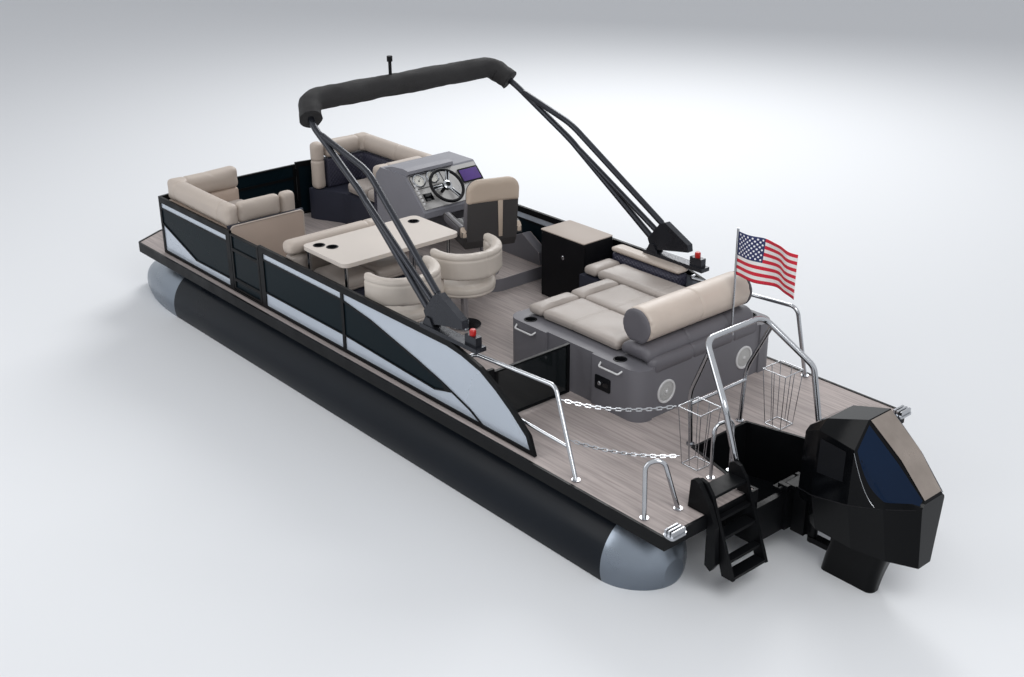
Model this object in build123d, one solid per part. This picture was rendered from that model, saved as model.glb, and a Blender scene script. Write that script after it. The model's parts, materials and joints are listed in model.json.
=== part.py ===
from build123d import *
import math
import os

os.makedirs("parts", exist_ok=True)

# Places are given as a station, forward of the stern edge of the deck, an offset to port
# of the centreline, and a height above the deck. The model's origin is amidships on the
# centreline at the waterline, with +X forward, +Y to port and +Z up. Millimetres.

# Hull and deck
DECK_LENGTH = 7470
BEAM = 2590
DECK_Z = 610
DECK_THICKNESS = 22
TRIM_WALL = 20
TRIM_DROP = 90
TRIM_LIP = 6
BOW_CUT_LENGTH = 200
BOW_CUT_WIDTH = 345
BOW_CORNER_RADIUS = 60

# Pontoon tubes
TUBE_RADIUS = 343
TUBE_OFFSET = 950
TUBE_AXIS = -500
TUBE_AFT = 560
TUBE_FORWARD = 6600
NOSE_LENGTH = 1080
STERN_CONE_LENGTH = 350
STERN_CONE_TIP_RADIUS = 90
KEEL_WIDTH = 44
KEEL_DEPTH = 20
STRAKE_REACH = 74
STRAKE_HIGH_ANGLE = -22
STRAKE_LOW_ANGLE = -58
SEAT_GAP = 0.3

# Underdeck frame
BEAM_COUNT = 16
BEAM_DEPTH = 76
BEAM_FLANGE = 44
BEAM_WALL = 5
FIRST_BEAM = 120
BEAM_PITCH = 455
RISER_OFFSET = 95
RISER_WALL = 7

# Motor well and pod
WELL_FORWARD = 660
WELL_KNEE = 240
WELL_HALF_FORWARD = 284
WELL_HALF_AFT = 393
POD_WALL = 6
POD_DEPTH = 430
TRANSOM_THICKNESS = 45

# Fence
FENCE_OUTER = 1225
FENCE_WALL = 26
FENCE_TOP = 585
FENCE_SILL = 8
FENCE_FORWARD = 6810
FENCE_AFT = 1290
RAIL_DEPTH = 51
PANEL_WALL = 8
FRAME_STRIP = 6
BOW_BULGE = 130
BOW_GATE_HALF = 400
GATE_POST_FORWARD = 5457
GATE_POST_AFT = 4892
POST_WIDTH = 60
GATE_WALL = 26
GATE_CLEARANCE = 8
HINGE_BARREL = 8
HINGE_PIN = 5
HINGE_PLAY = 0.05
HINGE_DROP = 90
HINGE_LENGTH = 44

# Seating
SEAT_BASE = 330
SEAT_PAD = 120
BACK_TOP = 775
FURNITURE_OUTER = 1185
SOFT_GAP = 1

# Tower
TOWER_HINGE_STATION = 2470
TOWER_HINGE_HEIGHT = 660
TOWER_HINGE_OFFSET = 1188
TOWER_TUBE = 27
BOOT_RADIUS = 104
TOWER_PIN = 9
PIN_CLEARANCE = 0.5

# Stainless tube radii
RAIL_TUBE = 16
HOOP_TUBE = 22
WIRE_RADIUS = 4
CHAIN_RADIUS = 5

# Outboard
TILT_STATION = 15
TILT_HEIGHT = -105
TILT_TUBE = 16
KNUCKLE = 26
KNUCKLE_HALF = 70
RUNNING_GAP = 5
HOOK_TOP = TILT_HEIGHT - 15
HOOK_WALL = 26
STEER_STATION = -190
PLATE_HEIGHT = -840
SHAFT_HEIGHT = -1045
PROP_RADIUS = 188
BLADE_COUNT = 3


def at(station, offset, height):
    """The point at a station, an offset to port and a height above the deck."""
    return Vector(station - DECK_LENGTH / 2, offset, DECK_Z + height)


def block(stations, offsets, heights, corner=0):
    """A box between two stations, two offsets and two heights, with rounded upright edges."""
    size = [high - low for low, high in (stations, offsets, heights)]
    middle = at(*[(low + high) / 2 for low, high in (stations, offsets, heights)])
    box = Pos(*middle) * Box(*size)
    if corner:
        box = fillet(box.edges().filter_by(Axis.Z), corner)
    return box


def plate_from_side(outline, offsets):
    """A plate drawn from the side: (station, height) points carried between two offsets."""
    points = [at(station, offsets[0], height) for station, height in outline]
    face = make_face(Polyline(*points, close=True))
    return extrude(face, amount=offsets[1] - offsets[0], dir=(0, 1, 0))


def plate_from_above(outline, heights):
    """A plate drawn from above: (station, offset) points carried between two heights."""
    points = [at(station, offset, heights[0]) for station, offset in outline]
    face = make_face(Polyline(*points, close=True))
    return extrude(face, amount=heights[1] - heights[0], dir=(0, 0, 1))


def plate_from_aft(outline, stations):
    """A plate drawn from aft: (offset, height) points carried between two stations."""
    points = [at(stations[0], offset, height) for offset, height in outline]
    face = make_face(Polyline(*points, close=True))
    return extrude(face, amount=stations[1] - stations[0], dir=(1, 0, 0))


def rod(points, radius, bend=0.0, bore=0.0):
    """A round bar along straight runs joined by arcs."""
    places = [at(*point) for point in points]
    path = FilletPolyline(*places, radius=bend) if len(places) > 2 else Line(*places)
    start = Plane(origin=path @ 0, z_dir=path % 0)
    section = start * Circle(radius)
    if bore:
        section -= start * Circle(bore)
    return sweep(section, path=path)


def post(station, offset, heights, radius, bore=0.0):
    """An upright round bar or tube."""
    height = heights[1] - heights[0]
    bar = Pos(*at(station, offset, sum(heights) / 2)) * Cylinder(radius, height)
    if bore:
        bar -= Pos(*at(station, offset, sum(heights) / 2)) * Cylinder(bore, height)
    return bar


def cross_bar(station, height, offsets, radius, bore=0.0):
    """A round bar or tube lying athwart."""
    width = offsets[1] - offsets[0]
    place = Pos(*at(station, sum(offsets) / 2, height)) * Rot(90, 0, 0)
    bar = place * Cylinder(radius, width)
    if bore:
        bar -= place * Cylinder(bore, width)
    return bar


def mirrored(shape):
    """The same shape on the other side of the centreline."""
    return mirror(shape, about=Plane.XZ)


def both_sides(shape):
    """A shape and its mirror image as one group of separate solids."""
    return Compound(children=[*shape.solids(), *mirrored(shape).solids()])


def above_deck(shape):
    """What stands on the deck, cut level just over the floor."""
    return shape - block((-500, DECK_LENGTH), (-BEAM, BEAM), (-BEAM, SEAT_GAP))


def group(*shapes):
    """Separate solids kept together in one node."""
    return Compound(children=[solid for shape in shapes for solid in shape.solids()])


def upright_edge(shape, station, offset):
    """The upright edge of a shape nearest to a station and an offset."""
    place = at(station, offset, 0)
    return shape.edges().filter_by(Axis.Z).sort_by(
        lambda edge: math.hypot(edge.center().X - place.X, edge.center().Y - place.Y)
    )[0]


def eased(shape, radius):
    """A shape with its topmost edges rounded."""
    return fillet(shape.edges().group_by(Axis.Z)[-1], radius)


def join(shapes):
    """All the shapes fused to one."""
    whole = shapes[0]
    for shape in shapes[1:]:
        whole = whole + shape
    return whole


# Hull

def tube_cylinder(offset, aft, forward, radius=TUBE_RADIUS):
    """A bar along a pontoon's axis between two stations."""
    middle = at((aft + forward) / 2, offset, TUBE_AXIS)
    return Pos(*middle) * Rot(0, 90, 0) * Cylinder(radius, forward - aft)


def turned_cone(profile_edges):
    """A closed shape turned about the +X line through the origin."""
    face = make_face(profile_edges)
    return revolve(face, axis=Axis.X)


def nose_cone(offset):
    """A blunt half-ellipse nose in front of a tube."""
    arc = EllipticalCenterArc((0, 0), NOSE_LENGTH, TUBE_RADIUS, start_angle=0, arc_size=90)
    sides = Polyline((0, TUBE_RADIUS), (0, 0), (NOSE_LENGTH, 0))
    cone = turned_cone([arc.edge(), *sides.edges()])
    return Pos(*at(TUBE_FORWARD, offset, TUBE_AXIS)) * cone


def stern_cone(offset):
    """A domed cone behind a tube."""
    shoulder = (-STERN_CONE_LENGTH * 0.72, TUBE_RADIUS * 0.68)
    end = (-STERN_CONE_LENGTH, STERN_CONE_TIP_RADIUS)
    arc = ThreePointArc((0, TUBE_RADIUS), shoulder, end)
    sides = Polyline(end, (-STERN_CONE_LENGTH, 0), (0, 0), (0, TUBE_RADIUS))
    cone = turned_cone([arc.edge(), *sides.edges()])
    return Pos(*at(TUBE_AFT, offset, TUBE_AXIS)) * cone


def lifting_strake(offset, side, aft):
    """A wedge along the lower flank of a tube, seated on its curve."""
    middle_angle = (STRAKE_HIGH_ANGLE + STRAKE_LOW_ANGLE) / 2
    corners = []
    for angle, reach in (
        (STRAKE_HIGH_ANGLE, 0),
        (middle_angle, STRAKE_REACH),
        (STRAKE_LOW_ANGLE, 0),
        (middle_angle, -TUBE_RADIUS / 4),
    ):
        turn = math.radians(angle)
        radius = TUBE_RADIUS + reach
        corners.append((offset + side * radius * math.cos(turn), TUBE_AXIS + radius * math.sin(turn)))
    wedge = plate_from_aft(corners, (aft, TUBE_FORWARD))
    return wedge - tube_cylinder(offset, aft, TUBE_FORWARD, TUBE_RADIUS + SEAT_GAP)


def keel_strip(offset, aft):
    """A flat strip along the bottom of a tube."""
    bottom = TUBE_AXIS - TUBE_RADIUS - KEEL_DEPTH
    half = KEEL_WIDTH / 2
    strip = block((aft, TUBE_FORWARD), (offset - half, offset + half), (bottom, bottom + 2 * KEEL_DEPTH))
    return strip - tube_cylinder(offset, aft, TUBE_FORWARD, TUBE_RADIUS + SEAT_GAP)


pod_front = WELL_FORWARD + POD_WALL
tube_sterns = {TUBE_OFFSET: TUBE_AFT, 0: pod_front, -TUBE_OFFSET: TUBE_AFT}

pontoons = group(*[tube_cylinder(y, aft, TUBE_FORWARD) for y, aft in tube_sterns.items()])
pontoon_cones = group(
    *[nose_cone(y) for y in tube_sterns],
    *[stern_cone(y) for y in (TUBE_OFFSET, -TUBE_OFFSET)],
)
lifting_strakes = group(
    *[lifting_strake(y, side, aft) for y, aft in tube_sterns.items() for side in (1, -1)],
    *[keel_strip(y, aft) for y, aft in tube_sterns.items()],
)

# Deck outline, with the motor well open at the stern
half_beam = BEAM / 2
well_outline = [
    (0, WELL_HALF_AFT),
    (WELL_KNEE, WELL_HALF_AFT),
    (WELL_FORWARD, WELL_HALF_FORWARD),
    (WELL_FORWARD, -WELL_HALF_FORWARD),
    (WELL_KNEE, -WELL_HALF_AFT),
    (0, -WELL_HALF_AFT),
]
deck_outline = [
    (0, half_beam),
    (DECK_LENGTH - BOW_CUT_LENGTH, half_beam),
    (DECK_LENGTH, half_beam - BOW_CUT_WIDTH),
    (DECK_LENGTH, -half_beam + BOW_CUT_WIDTH),
    (DECK_LENGTH - BOW_CUT_LENGTH, -half_beam),
    (0, -half_beam),
    *reversed(well_outline),
]
deck_face = make_face(Polyline(*[at(s, y, 0) for s, y in deck_outline], close=True))
bow_vertices = deck_face.vertices().filter_by(lambda v: v.X > DECK_LENGTH / 4)
deck_face = fillet(bow_vertices, BOW_CORNER_RADIUS)
floor_face = offset(deck_face, amount=-TRIM_WALL, kind=Kind.INTERSECTION)
deck = extrude(floor_face, amount=DECK_THICKNESS, dir=(0, 0, -1))
trim_height = TRIM_DROP + TRIM_LIP
trim_start = Pos(0, 0, TRIM_LIP)
deck_trim = extrude(trim_start * deck_face, amount=trim_height, dir=(0, 0, -1))
deck_trim -= extrude(trim_start * floor_face, amount=trim_height, dir=(0, 0, -1))


def cross_beam(station):
    """A channel under the deck, open aft."""
    top = -DECK_THICKNESS
    bottom = top - BEAM_DEPTH
    half = half_beam - TRIM_WALL
    beam = block((station, station + BEAM_FLANGE), (-half, half), (bottom, top))
    hollow = block(
        (station - BEAM_WALL, station + BEAM_FLANGE - BEAM_WALL),
        (-half, half),
        (bottom + BEAM_WALL, top - BEAM_WALL),
    )
    return beam - hollow


def riser(offset, aft):
    """An upright web between a tube's crown and the beams."""
    half = RISER_WALL / 2
    top = -DECK_THICKNESS - BEAM_DEPTH - SEAT_GAP
    web = block((aft, TUBE_FORWARD), (offset - half, offset + half), (TUBE_AXIS + TUBE_RADIUS / 2, top))
    return web


pod_outline = [
    (0, WELL_HALF_AFT + POD_WALL),
    (WELL_KNEE + POD_WALL, WELL_HALF_AFT + POD_WALL),
    (pod_front, WELL_HALF_FORWARD + POD_WALL),
    (pod_front, -WELL_HALF_FORWARD - POD_WALL),
    (WELL_KNEE + POD_WALL, -WELL_HALF_AFT - POD_WALL),
    (0, -WELL_HALF_AFT - POD_WALL),
]
well_envelope = plate_from_above(
    [(s + math.copysign(TRIM_WALL, s - 1), y + math.copysign(TRIM_WALL, y)) for s, y in well_outline],
    (-POD_DEPTH, TRIM_LIP),
)
beams = [cross_beam(FIRST_BEAM + index * BEAM_PITCH) - well_envelope for index in range(BEAM_COUNT)]
risers = [
    riser(y + side * RISER_OFFSET, aft) - tube_cylinder(y, aft, TUBE_FORWARD, TUBE_RADIUS + SEAT_GAP)
    for y, aft in tube_sterns.items()
    for side in (1, -1)
]
underframe = group(*beams, *[shape.solids().sort_by(Axis.Z)[-1] for shape in risers])

pod_shell = plate_from_above(pod_outline, (-POD_DEPTH, -TRIM_DROP))
pod_shell -= plate_from_above(well_outline, (-POD_DEPTH + POD_WALL, 0))
transom = block(
    (0, TRANSOM_THICKNESS),
    (-WELL_HALF_AFT, WELL_HALF_AFT),
    (-POD_DEPTH + POD_WALL, HOOK_TOP - HOOK_WALL - SEAT_GAP),
)
motor_pod = pod_shell + transom

# Fence

rail_bottom = FENCE_TOP - RAIL_DEPTH
fence_inner = FENCE_OUTER - FENCE_WALL
panel_offsets = (FENCE_OUTER - FENCE_WALL / 2 - PANEL_WALL / 2, FENCE_OUTER - FENCE_WALL / 2 + PANEL_WALL / 2)
bow_gate_station = FENCE_FORWARD + BOW_BULGE
sill_top = 31

# The fence's side from the waterline side: the aft end sweeps down to the deck
fence_side_outline = [
    (FENCE_FORWARD, FENCE_SILL),
    (FENCE_AFT, FENCE_SILL),
    (1345, 150),
    (1532, 300),
    (1684, 400),
    (1862, 492),
    (2080, 545),
    (2250, FENCE_TOP),
    (FENCE_FORWARD, FENCE_TOP),
]

# Panels of one side from the bow aft: finish, then (station, height) corners
bow_panels = [
    ("light", [(6778, 534), (6778, 470), (5492, 470), (5492, 534)]),
    ("dark", [(6778, 470), (6778, 315), (6139, 104), (5492, 109), (5492, 470)]),
    ("light", [(6778, 315), (6778, 31), (5492, 31), (5492, 109), (6139, 104)]),
]
aft_panels = [
    ("light", [(4857, 534), (4857, 470), (3640, 466), (3640, 534)]),
    ("dark", [(4857, 470), (4857, 163), (3640, 163), (3640, 466)]),
    ("light", [(4857, 163), (4857, 31), (3640, 31), (3640, 163)]),
    ("light", [
        (3612, 534), (3612, 464), (3238, 414), (2645, 284), (2330, 205), (2000, 102),
        (1860, 31), (1330, 31), (1375, 135), (1552, 276), (1700, 372), (1872, 462), (2090, 515), (2250, 534),
    ]),
    ("dark", [(3612, 464), (3612, 163), (2700, 128), (2420, 118), (2290, 150), (2330, 205), (2645, 284), (3238, 414)]),
    ("light", [(3612, 163), (3612, 31), (1860, 31), (2000, 102), (2210, 168), (2290, 150), (2420, 118), (2700, 128)]),
]
gate_fill_panels = [
    ("light", [(5425, 534), (5425, 470), (4925, 470), (4925, 534)]),
    ("dark", [(5425, 470), (5425, 130), (4925, 130), (4925, 470)]),
    ("light", [(5425, 130), (5425, 31), (4925, 31), (4925, 130)]),
]


def panel_plate(corners, offsets):
    """A panel drawn in by the frame strip all round."""
    face = make_face(Polyline(*[at(s, offsets[0], h) for s, h in corners], close=True))
    face = offset(face, amount=-FRAME_STRIP, kind=Kind.INTERSECTION)
    return extrude(face, amount=offsets[1] - offsets[0], dir=(0, 1, 0))


def side_fence(panels):
    """The frame of one side, and its light and dark panels."""
    frame = plate_from_side(fence_side_outline, (fence_inner, FENCE_OUTER))
    light, dark = [], []
    for finish, corners in panels:
        window = panel_plate(corners, (fence_inner, FENCE_OUTER))
        frame -= window
        (light if finish == "light" else dark).append(panel_plate(corners, panel_offsets))
    return frame, light, dark


def bow_fence():
    """The panel frame across the bow from the corner to the bow gate, port side."""
    back = FENCE_WALL
    outline = [
        (FENCE_FORWARD, FENCE_OUTER),
        (bow_gate_station, BOW_GATE_HALF),
        (bow_gate_station - back, BOW_GATE_HALF),
        (FENCE_FORWARD - back, FENCE_OUTER - back),
        (FENCE_FORWARD - back, FENCE_OUTER),
    ]
    frame = plate_from_above(outline, (FENCE_SILL, FENCE_TOP))
    window_box = block(
        (FENCE_FORWARD - BOW_BULGE, bow_gate_station + BOW_BULGE),
        (BOW_GATE_HALF + POST_WIDTH / 2, FENCE_OUTER - POST_WIDTH),
        (sill_top, rail_bottom),
    )
    skin = [
        (FENCE_FORWARD - back / 3, FENCE_OUTER),
        (bow_gate_station - back / 3, BOW_GATE_HALF),
        (bow_gate_station - back / 3 - PANEL_WALL, BOW_GATE_HALF),
        (FENCE_FORWARD - back / 3 - PANEL_WALL, FENCE_OUTER),
    ]
    panel = plate_from_above(skin, (FENCE_SILL, FENCE_TOP)) & window_box
    return frame - window_box, panel


bow_frame, bow_panel = bow_fence()
port_frame, port_light, port_dark = side_fence(bow_panels + aft_panels)
gateway = block(
    (GATE_POST_AFT + POST_WIDTH / 2, GATE_POST_FORWARD - POST_WIDTH / 2),
    (fence_inner - FENCE_WALL, FENCE_OUTER + FENCE_WALL),
    (sill_top - FRAME_STRIP, FENCE_TOP + RAIL_DEPTH),
)
rail_frame_port = (port_frame - gateway) + bow_frame
starboard_frame, starboard_light, starboard_dark = side_fence(bow_panels + gate_fill_panels + aft_panels)
rail_frame_starboard = mirrored(starboard_frame + bow_frame)
panels_light = group(*port_light, *[mirrored(panel) for panel in starboard_light])
panels_dark = group(
    *port_dark, bow_panel, *[mirrored(panel) for panel in starboard_dark], mirrored(bow_panel)
)


# Gates: each hangs on a pin beside its post

gate_foot = sill_top + GATE_CLEARANCE
port_gate_stations = (
    GATE_POST_AFT + POST_WIDTH / 2 + GATE_CLEARANCE,
    GATE_POST_FORWARD - POST_WIDTH / 2 - GATE_CLEARANCE,
)
gate_rail = 28
gate_inner = fence_inner + (FENCE_WALL - GATE_WALL) / 2
gate_band = 420
gate_low_band = 130
gate_top = FENCE_TOP - 20


def framed(stations, heights, bars):
    """A flat frame standing lengthwise with bars between the given heights."""
    frame = block(stations, (gate_inner, gate_inner + GATE_WALL), heights)
    levels = [heights[0], *bars, heights[1]]
    windows = []
    for low, high in zip(levels[:-1], levels[1:]):
        inside = (stations[0] + gate_rail, stations[1] - gate_rail)
        window = (low + gate_rail / 2, high - gate_rail / 2)
        frame -= block(inside, (gate_inner, gate_inner + GATE_WALL), window)
        windows.append(block(inside, (gate_inner + PANEL_WALL, gate_inner + 2 * PANEL_WALL), window))
    return frame, windows


def hinge_halves(height):
    """A barrel hinge with its pin on +Z at the origin: the gate's half and the post's half.

    The gate runs towards -X and its frame starts at the barrel's +Y side.
    """
    seat = HINGE_BARREL + 1
    middle = Pos(0, 0, DECK_Z + height)
    leaf = middle * Pos(-HINGE_BARREL, seat / 2, 0) * Box(2 * HINGE_BARREL, seat, HINGE_LENGTH)
    bore = middle * Cylinder(HINGE_PIN + HINGE_PLAY, 2 * HINGE_LENGTH)
    gate_half = leaf + middle * Cylinder(HINGE_BARREL, HINGE_LENGTH) - bore
    post_half = middle * Cylinder(HINGE_PIN, 2 * HINGE_LENGTH)
    for side in (1, -1):
        level = middle * Pos(0, 0, side * (HINGE_LENGTH / 2 + HINGE_LENGTH / 4 + 1))
        post_half += level * Cylinder(HINGE_BARREL, HINGE_LENGTH / 2)
        post_half += level * Pos(HINGE_BARREL, seat / 2, 0) * Box(2 * HINGE_BARREL, seat, HINGE_LENGTH / 2)
    return gate_half, post_half


def hung(frame, post_frame, axis, turn, heights):
    """A gate and its post with a barrel hinge at each height, the gate's end turned to its side."""
    for height in heights:
        gate_half, post_half = hinge_halves(height)
        place = Pos(at(*axis, 0).X, axis[1], 0) * Rot(0, 0, turn)
        frame += place * gate_half
        post_frame += place * post_half
    return frame, post_frame


hinge_seat = HINGE_BARREL + 1
hinge_heights = (gate_foot + HINGE_DROP, gate_top - HINGE_DROP)
port_hinge = (GATE_POST_FORWARD - POST_WIDTH / 2 - GATE_CLEARANCE / 2, fence_inner - hinge_seat)
gate_port_frame, gate_port_windows = framed(
    port_gate_stations, (gate_foot, gate_top), (gate_low_band, gate_band)
)
gate_port_frame, rail_frame_port = hung(gate_port_frame, rail_frame_port, port_hinge, 0, hinge_heights)
gate_port_panels = group(*gate_port_windows)


def across(shape, station, start):
    """Turn a shape standing lengthwise so that its forward end points to port, at a new station."""
    pivot = at(start, gate_inner + GATE_WALL / 2, 0)
    turned = Pos(*(-pivot)) * shape
    turned = Rot(0, 0, 90) * turned
    return Pos(*at(station, 0, 0)) * turned


bow_gate_width = 2 * BOW_GATE_HALF - 2 * GATE_CLEARANCE
bow_gate_frame, bow_gate_windows = framed((0, bow_gate_width), (gate_foot, gate_top), (gate_band,))
bow_gate_face = bow_gate_station - GATE_WALL / 2
gate_bow_frame = across(bow_gate_frame, bow_gate_face, bow_gate_width / 2)
gate_bow_panels = group(*[across(window, bow_gate_face, bow_gate_width / 2) for window in bow_gate_windows])
bow_hinge = (bow_gate_face - GATE_WALL / 2 - hinge_seat, -BOW_GATE_HALF + GATE_CLEARANCE / 2)
gate_bow_frame, rail_frame_starboard = hung(
    gate_bow_frame, rail_frame_starboard, bow_hinge, -90, hinge_heights
)

AFT_GATE_STATION = 1840
AFT_GATE_INNER = 392
AFT_GATE_OUTER = 1120
AFT_GATE_TOP = 440
aft_gate_width = AFT_GATE_OUTER - AFT_GATE_INNER
aft_gate_middle = Pos(0, (AFT_GATE_OUTER + AFT_GATE_INNER) / 2, 0)
aft_frame, aft_windows = framed((0, aft_gate_width), (gate_foot, AFT_GATE_TOP), ())
gate_aft_frame = aft_gate_middle * across(aft_frame, AFT_GATE_STATION, aft_gate_width / 2)
gate_aft_glass = aft_gate_middle * across(aft_windows[0], AFT_GATE_STATION, aft_gate_width / 2)
aft_post = block(
    (AFT_GATE_STATION - GATE_WALL / 2, AFT_GATE_STATION + GATE_WALL / 2),
    (AFT_GATE_OUTER + GATE_CLEARANCE, fence_inner),
    (FENCE_SILL, AFT_GATE_TOP + HINGE_BARREL + 2 * GATE_CLEARANCE),
)
aft_hinge = (AFT_GATE_STATION + GATE_WALL / 2 + hinge_seat, AFT_GATE_OUTER + GATE_CLEARANCE / 2)
aft_hinge_heights = (gate_foot + HINGE_DROP, AFT_GATE_TOP - HINGE_DROP)
gate_aft_frame, rail_frame_port = hung(
    gate_aft_frame, rail_frame_port + aft_post, aft_hinge, 90, aft_hinge_heights
)

# Seat bases, with the kick space left out

aft_base_top = 410
base_offsets = (430, FURNITURE_OUTER)
bow_base_stations = (5500, FENCE_FORWARD - FENCE_WALL - 2 * GATE_CLEARANCE)
bow_back_wall = 150
bow_panel_wall = 30
cross_back_top = 600

port_base = block(bow_base_stations, base_offsets, (0, SEAT_BASE), 40)
port_base += block((5500, 5500 + bow_panel_wall), (395, FURNITURE_OUTER), (0, cross_back_top))
starboard_base = plate_from_above(
    [
        (5450, -620), (6360, -620), (6700, -455), (bow_base_stations[1], -455),
        (bow_base_stations[1], -FURNITURE_OUTER), (5450, -FURNITURE_OUTER),
    ],
    (0, SEAT_BASE),
)
for corner, radius in (((5450, -620), 60), ((6360, -620), 260), ((6700, -455), 160)):
    starboard_base = fillet(upright_edge(starboard_base, *corner), radius)
dinette_base = block((3980, 4600), (225, FURNITURE_OUTER), (0, SEAT_BASE), 30)
CUP_RADIUS = 42
CUP_DEPTH = 70
POD_CORNER = 120
KICK_HEIGHT = 60
chaise_stations = (1165, 2600)
chaise_offsets = (-1000, 200)
chaise_inner = -700
chaise_centre = plate_from_above(
    [
        (chaise_stations[0], chaise_offsets[1]), (chaise_stations[1], chaise_offsets[1]),
        (chaise_stations[1], chaise_inner), (1500, chaise_inner),
        (1500, chaise_offsets[0]), (chaise_stations[0], chaise_offsets[0]),
    ],
    (0, aft_base_top),
)
# Mouldings round the box: stations, offsets, and the places of the rounded corner and of the cup
chaise_mouldings = [
    ((1150, 1640), (chaise_offsets[1] + SEAT_GAP, 345), (1150, 345), (1430, 262)),
    ((1640 + SEAT_GAP, 2150), (chaise_offsets[1] + SEAT_GAP, 325), None, None),
    ((2150 + SEAT_GAP, 2610), (chaise_offsets[1] + SEAT_GAP, 345), (2610, 345), (2420, 262)),
    ((1150, 1500), (-FURNITURE_OUTER, chaise_offsets[0] - SEAT_GAP), (1150, -FURNITURE_OUTER), (1340, -1095)),
]


def chaise_moulding(stations, offsets, corner, cup):
    """One moulding of the chaise's side, with a rounded upright corner and a drop-in cup."""
    shape = block(stations, offsets, (0, aft_base_top))
    if corner:
        shape = fillet(upright_edge(shape, *corner), POD_CORNER)
    if cup:
        shape -= post(*cup, (aft_base_top - CUP_DEPTH, aft_base_top), CUP_RADIUS)
    return shape


chaise_base = group(chaise_centre, *[chaise_moulding(*row) for row in chaise_mouldings])
side_base = block((1503, 2880), (-FURNITURE_OUTER, -703), (0, aft_base_top))
seat_bases = group(port_base, starboard_base, dinette_base, side_base)

# Cushions: a seat or back stands a small gap off what carries it

seat_low = SEAT_BASE + SEAT_GAP
seat_high = SEAT_BASE + SEAT_PAD
BACK_EASE = 30
bow_seat_port = block((5665, 6600), (435, 1040), (seat_low, seat_high), 40)
bow_seat_starboard = block((5610, 6340), (-1040, -625), (seat_low, seat_high), 40)
bow_seats = group(bow_seat_port, bow_seat_starboard)


def wrapped_back(stations, offsets, walls, top):
    """A back round three sides of a seat: aft and forward walls and the wall on the fence."""
    aft_wall, forward_wall, side_wall = walls
    back = block(stations, offsets, (seat_low, top), 60)
    hollow = block(
        (stations[0] + aft_wall, stations[1] - forward_wall),
        (offsets[0] - side_wall, offsets[1] - side_wall),
        (seat_low, top),
        40,
    )
    return eased(back - hollow, BACK_EASE)


bow_back_port = wrapped_back((5532, 6750), (430, FURNITURE_OUTER), (130, 145, 140), BACK_TOP)
bow_back_starboard = mirrored(
    wrapped_back((5460, 6750), (455, FURNITURE_OUTER), (145, 145, 140), BACK_TOP + 60)
)
bow_backs = group(bow_back_port, bow_back_starboard)
dinette_seat = block((3985, 4440), (230, 1000), (seat_low, seat_high), 40)
dinette_back = eased(block((4445, 4600), (225, FURNITURE_OUTER), (seat_low, 720), 50), BACK_EASE)

aft_low = aft_base_top + SEAT_GAP
aft_high = 500
chaise_pads = group(
    block((1520, 2530), (-240, 205), (aft_low, aft_high), 40),
    block((1520, 2530), (-690, -244), (aft_low, aft_high), 40),
)
ledge_top = 560
chaise_back = eased(block((1195, 1500), (-990, 215), (aft_low, ledge_top), 40), 25)
roll_radius = 142
chaise_roll = cross_bar(1333, ledge_top + 128, (-930, 215), roll_radius)
chaise_roll -= block((1100, 1500), (-FURNITURE_OUTER, 300), (400, ledge_top + SEAT_GAP))
side_seat = block((1520, 2860), (-1035, -710), (aft_low, aft_high), 40)
side_back = block((2060, 2860), (-FURNITURE_OUTER, -1040), (aft_low, FENCE_TOP - 2 * SOFT_GAP), 40)

# Dinette table, with drop-in cup holders

table_low, table_high = 665, 700
table_stations = (3750, 4400)
table_offsets = (-100, 1100)
table_cups = [(4290, 990), (4180, 930), (4260, 20)]
holder_wall = 3
table_top = block(table_stations, table_offsets, (table_low, table_high), 60)
for cup_station, cup_offset in table_cups:
    holder = post(cup_station, cup_offset, (table_high - CUP_DEPTH, table_high), CUP_RADIUS + holder_wall)
    cup = post(cup_station, cup_offset, (table_high - CUP_DEPTH + holder_wall, table_high), CUP_RADIUS)
    table_top = table_top + holder - cup
leg_radius = 15
table_legs = group(
    post(3835, 1030, (0, table_low), leg_radius),
    post(3835, -30, (0, table_low), leg_radius),
    post(4360, 1055, (SEAT_BASE, table_low), leg_radius),
    post(4350, -30, (0, table_low), leg_radius),
)

# Swivelling bucket chairs: station, offset
bucket_places = {"forward": (3420, 130), "aft": (3330, 850)}
pedestal_foot = 12
pedestal_radius = 32
bucket_seat_low = 330
bucket_seat_radius = 270
bucket_back_radius = 322
bucket_back_wall = 75
bucket_back_heights = (530, 760)
bucket_wrap = 205
bucket_ease = 30


def pedestal(station, offset, foot, top, foot_radius):
    """A spun foot with a column."""
    return post(station, offset, (foot, foot + pedestal_foot), foot_radius) + post(
        station, offset, (foot, top), pedestal_radius
    )


def bucket_chair(station, offset):
    """A round seat with a low wrap-round back standing off it on two brackets."""
    seat = eased(post(0, 0, (bucket_seat_low, bucket_seat_low + 110), bucket_seat_radius), bucket_ease)
    low, high = bucket_back_heights
    section = Plane.XZ * RectangleRounded(bucket_back_wall, high - low, bucket_ease)
    section = Pos(*at(bucket_back_radius - bucket_back_wall / 2, 0, (low + high) / 2)) * section
    upright = Axis(at(0, 0, 0), (0, 0, 1))
    back = revolve(section, axis=upright, revolution_arc=bucket_wrap)
    back = back.rotate(upright, 180 - bucket_wrap / 2)
    arms = [
        block((-60, 20), (side - 14, side + 14), (bucket_seat_low + 70, 620))
        for side in (bucket_seat_radius, -bucket_seat_radius)
    ]
    return Pos(station, offset, 0) * join([seat, *arms, back])


bucket_chair_forward = bucket_chair(*bucket_places["forward"])
bucket_chair_aft = bucket_chair(*bucket_places["aft"])

# Helm

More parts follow.
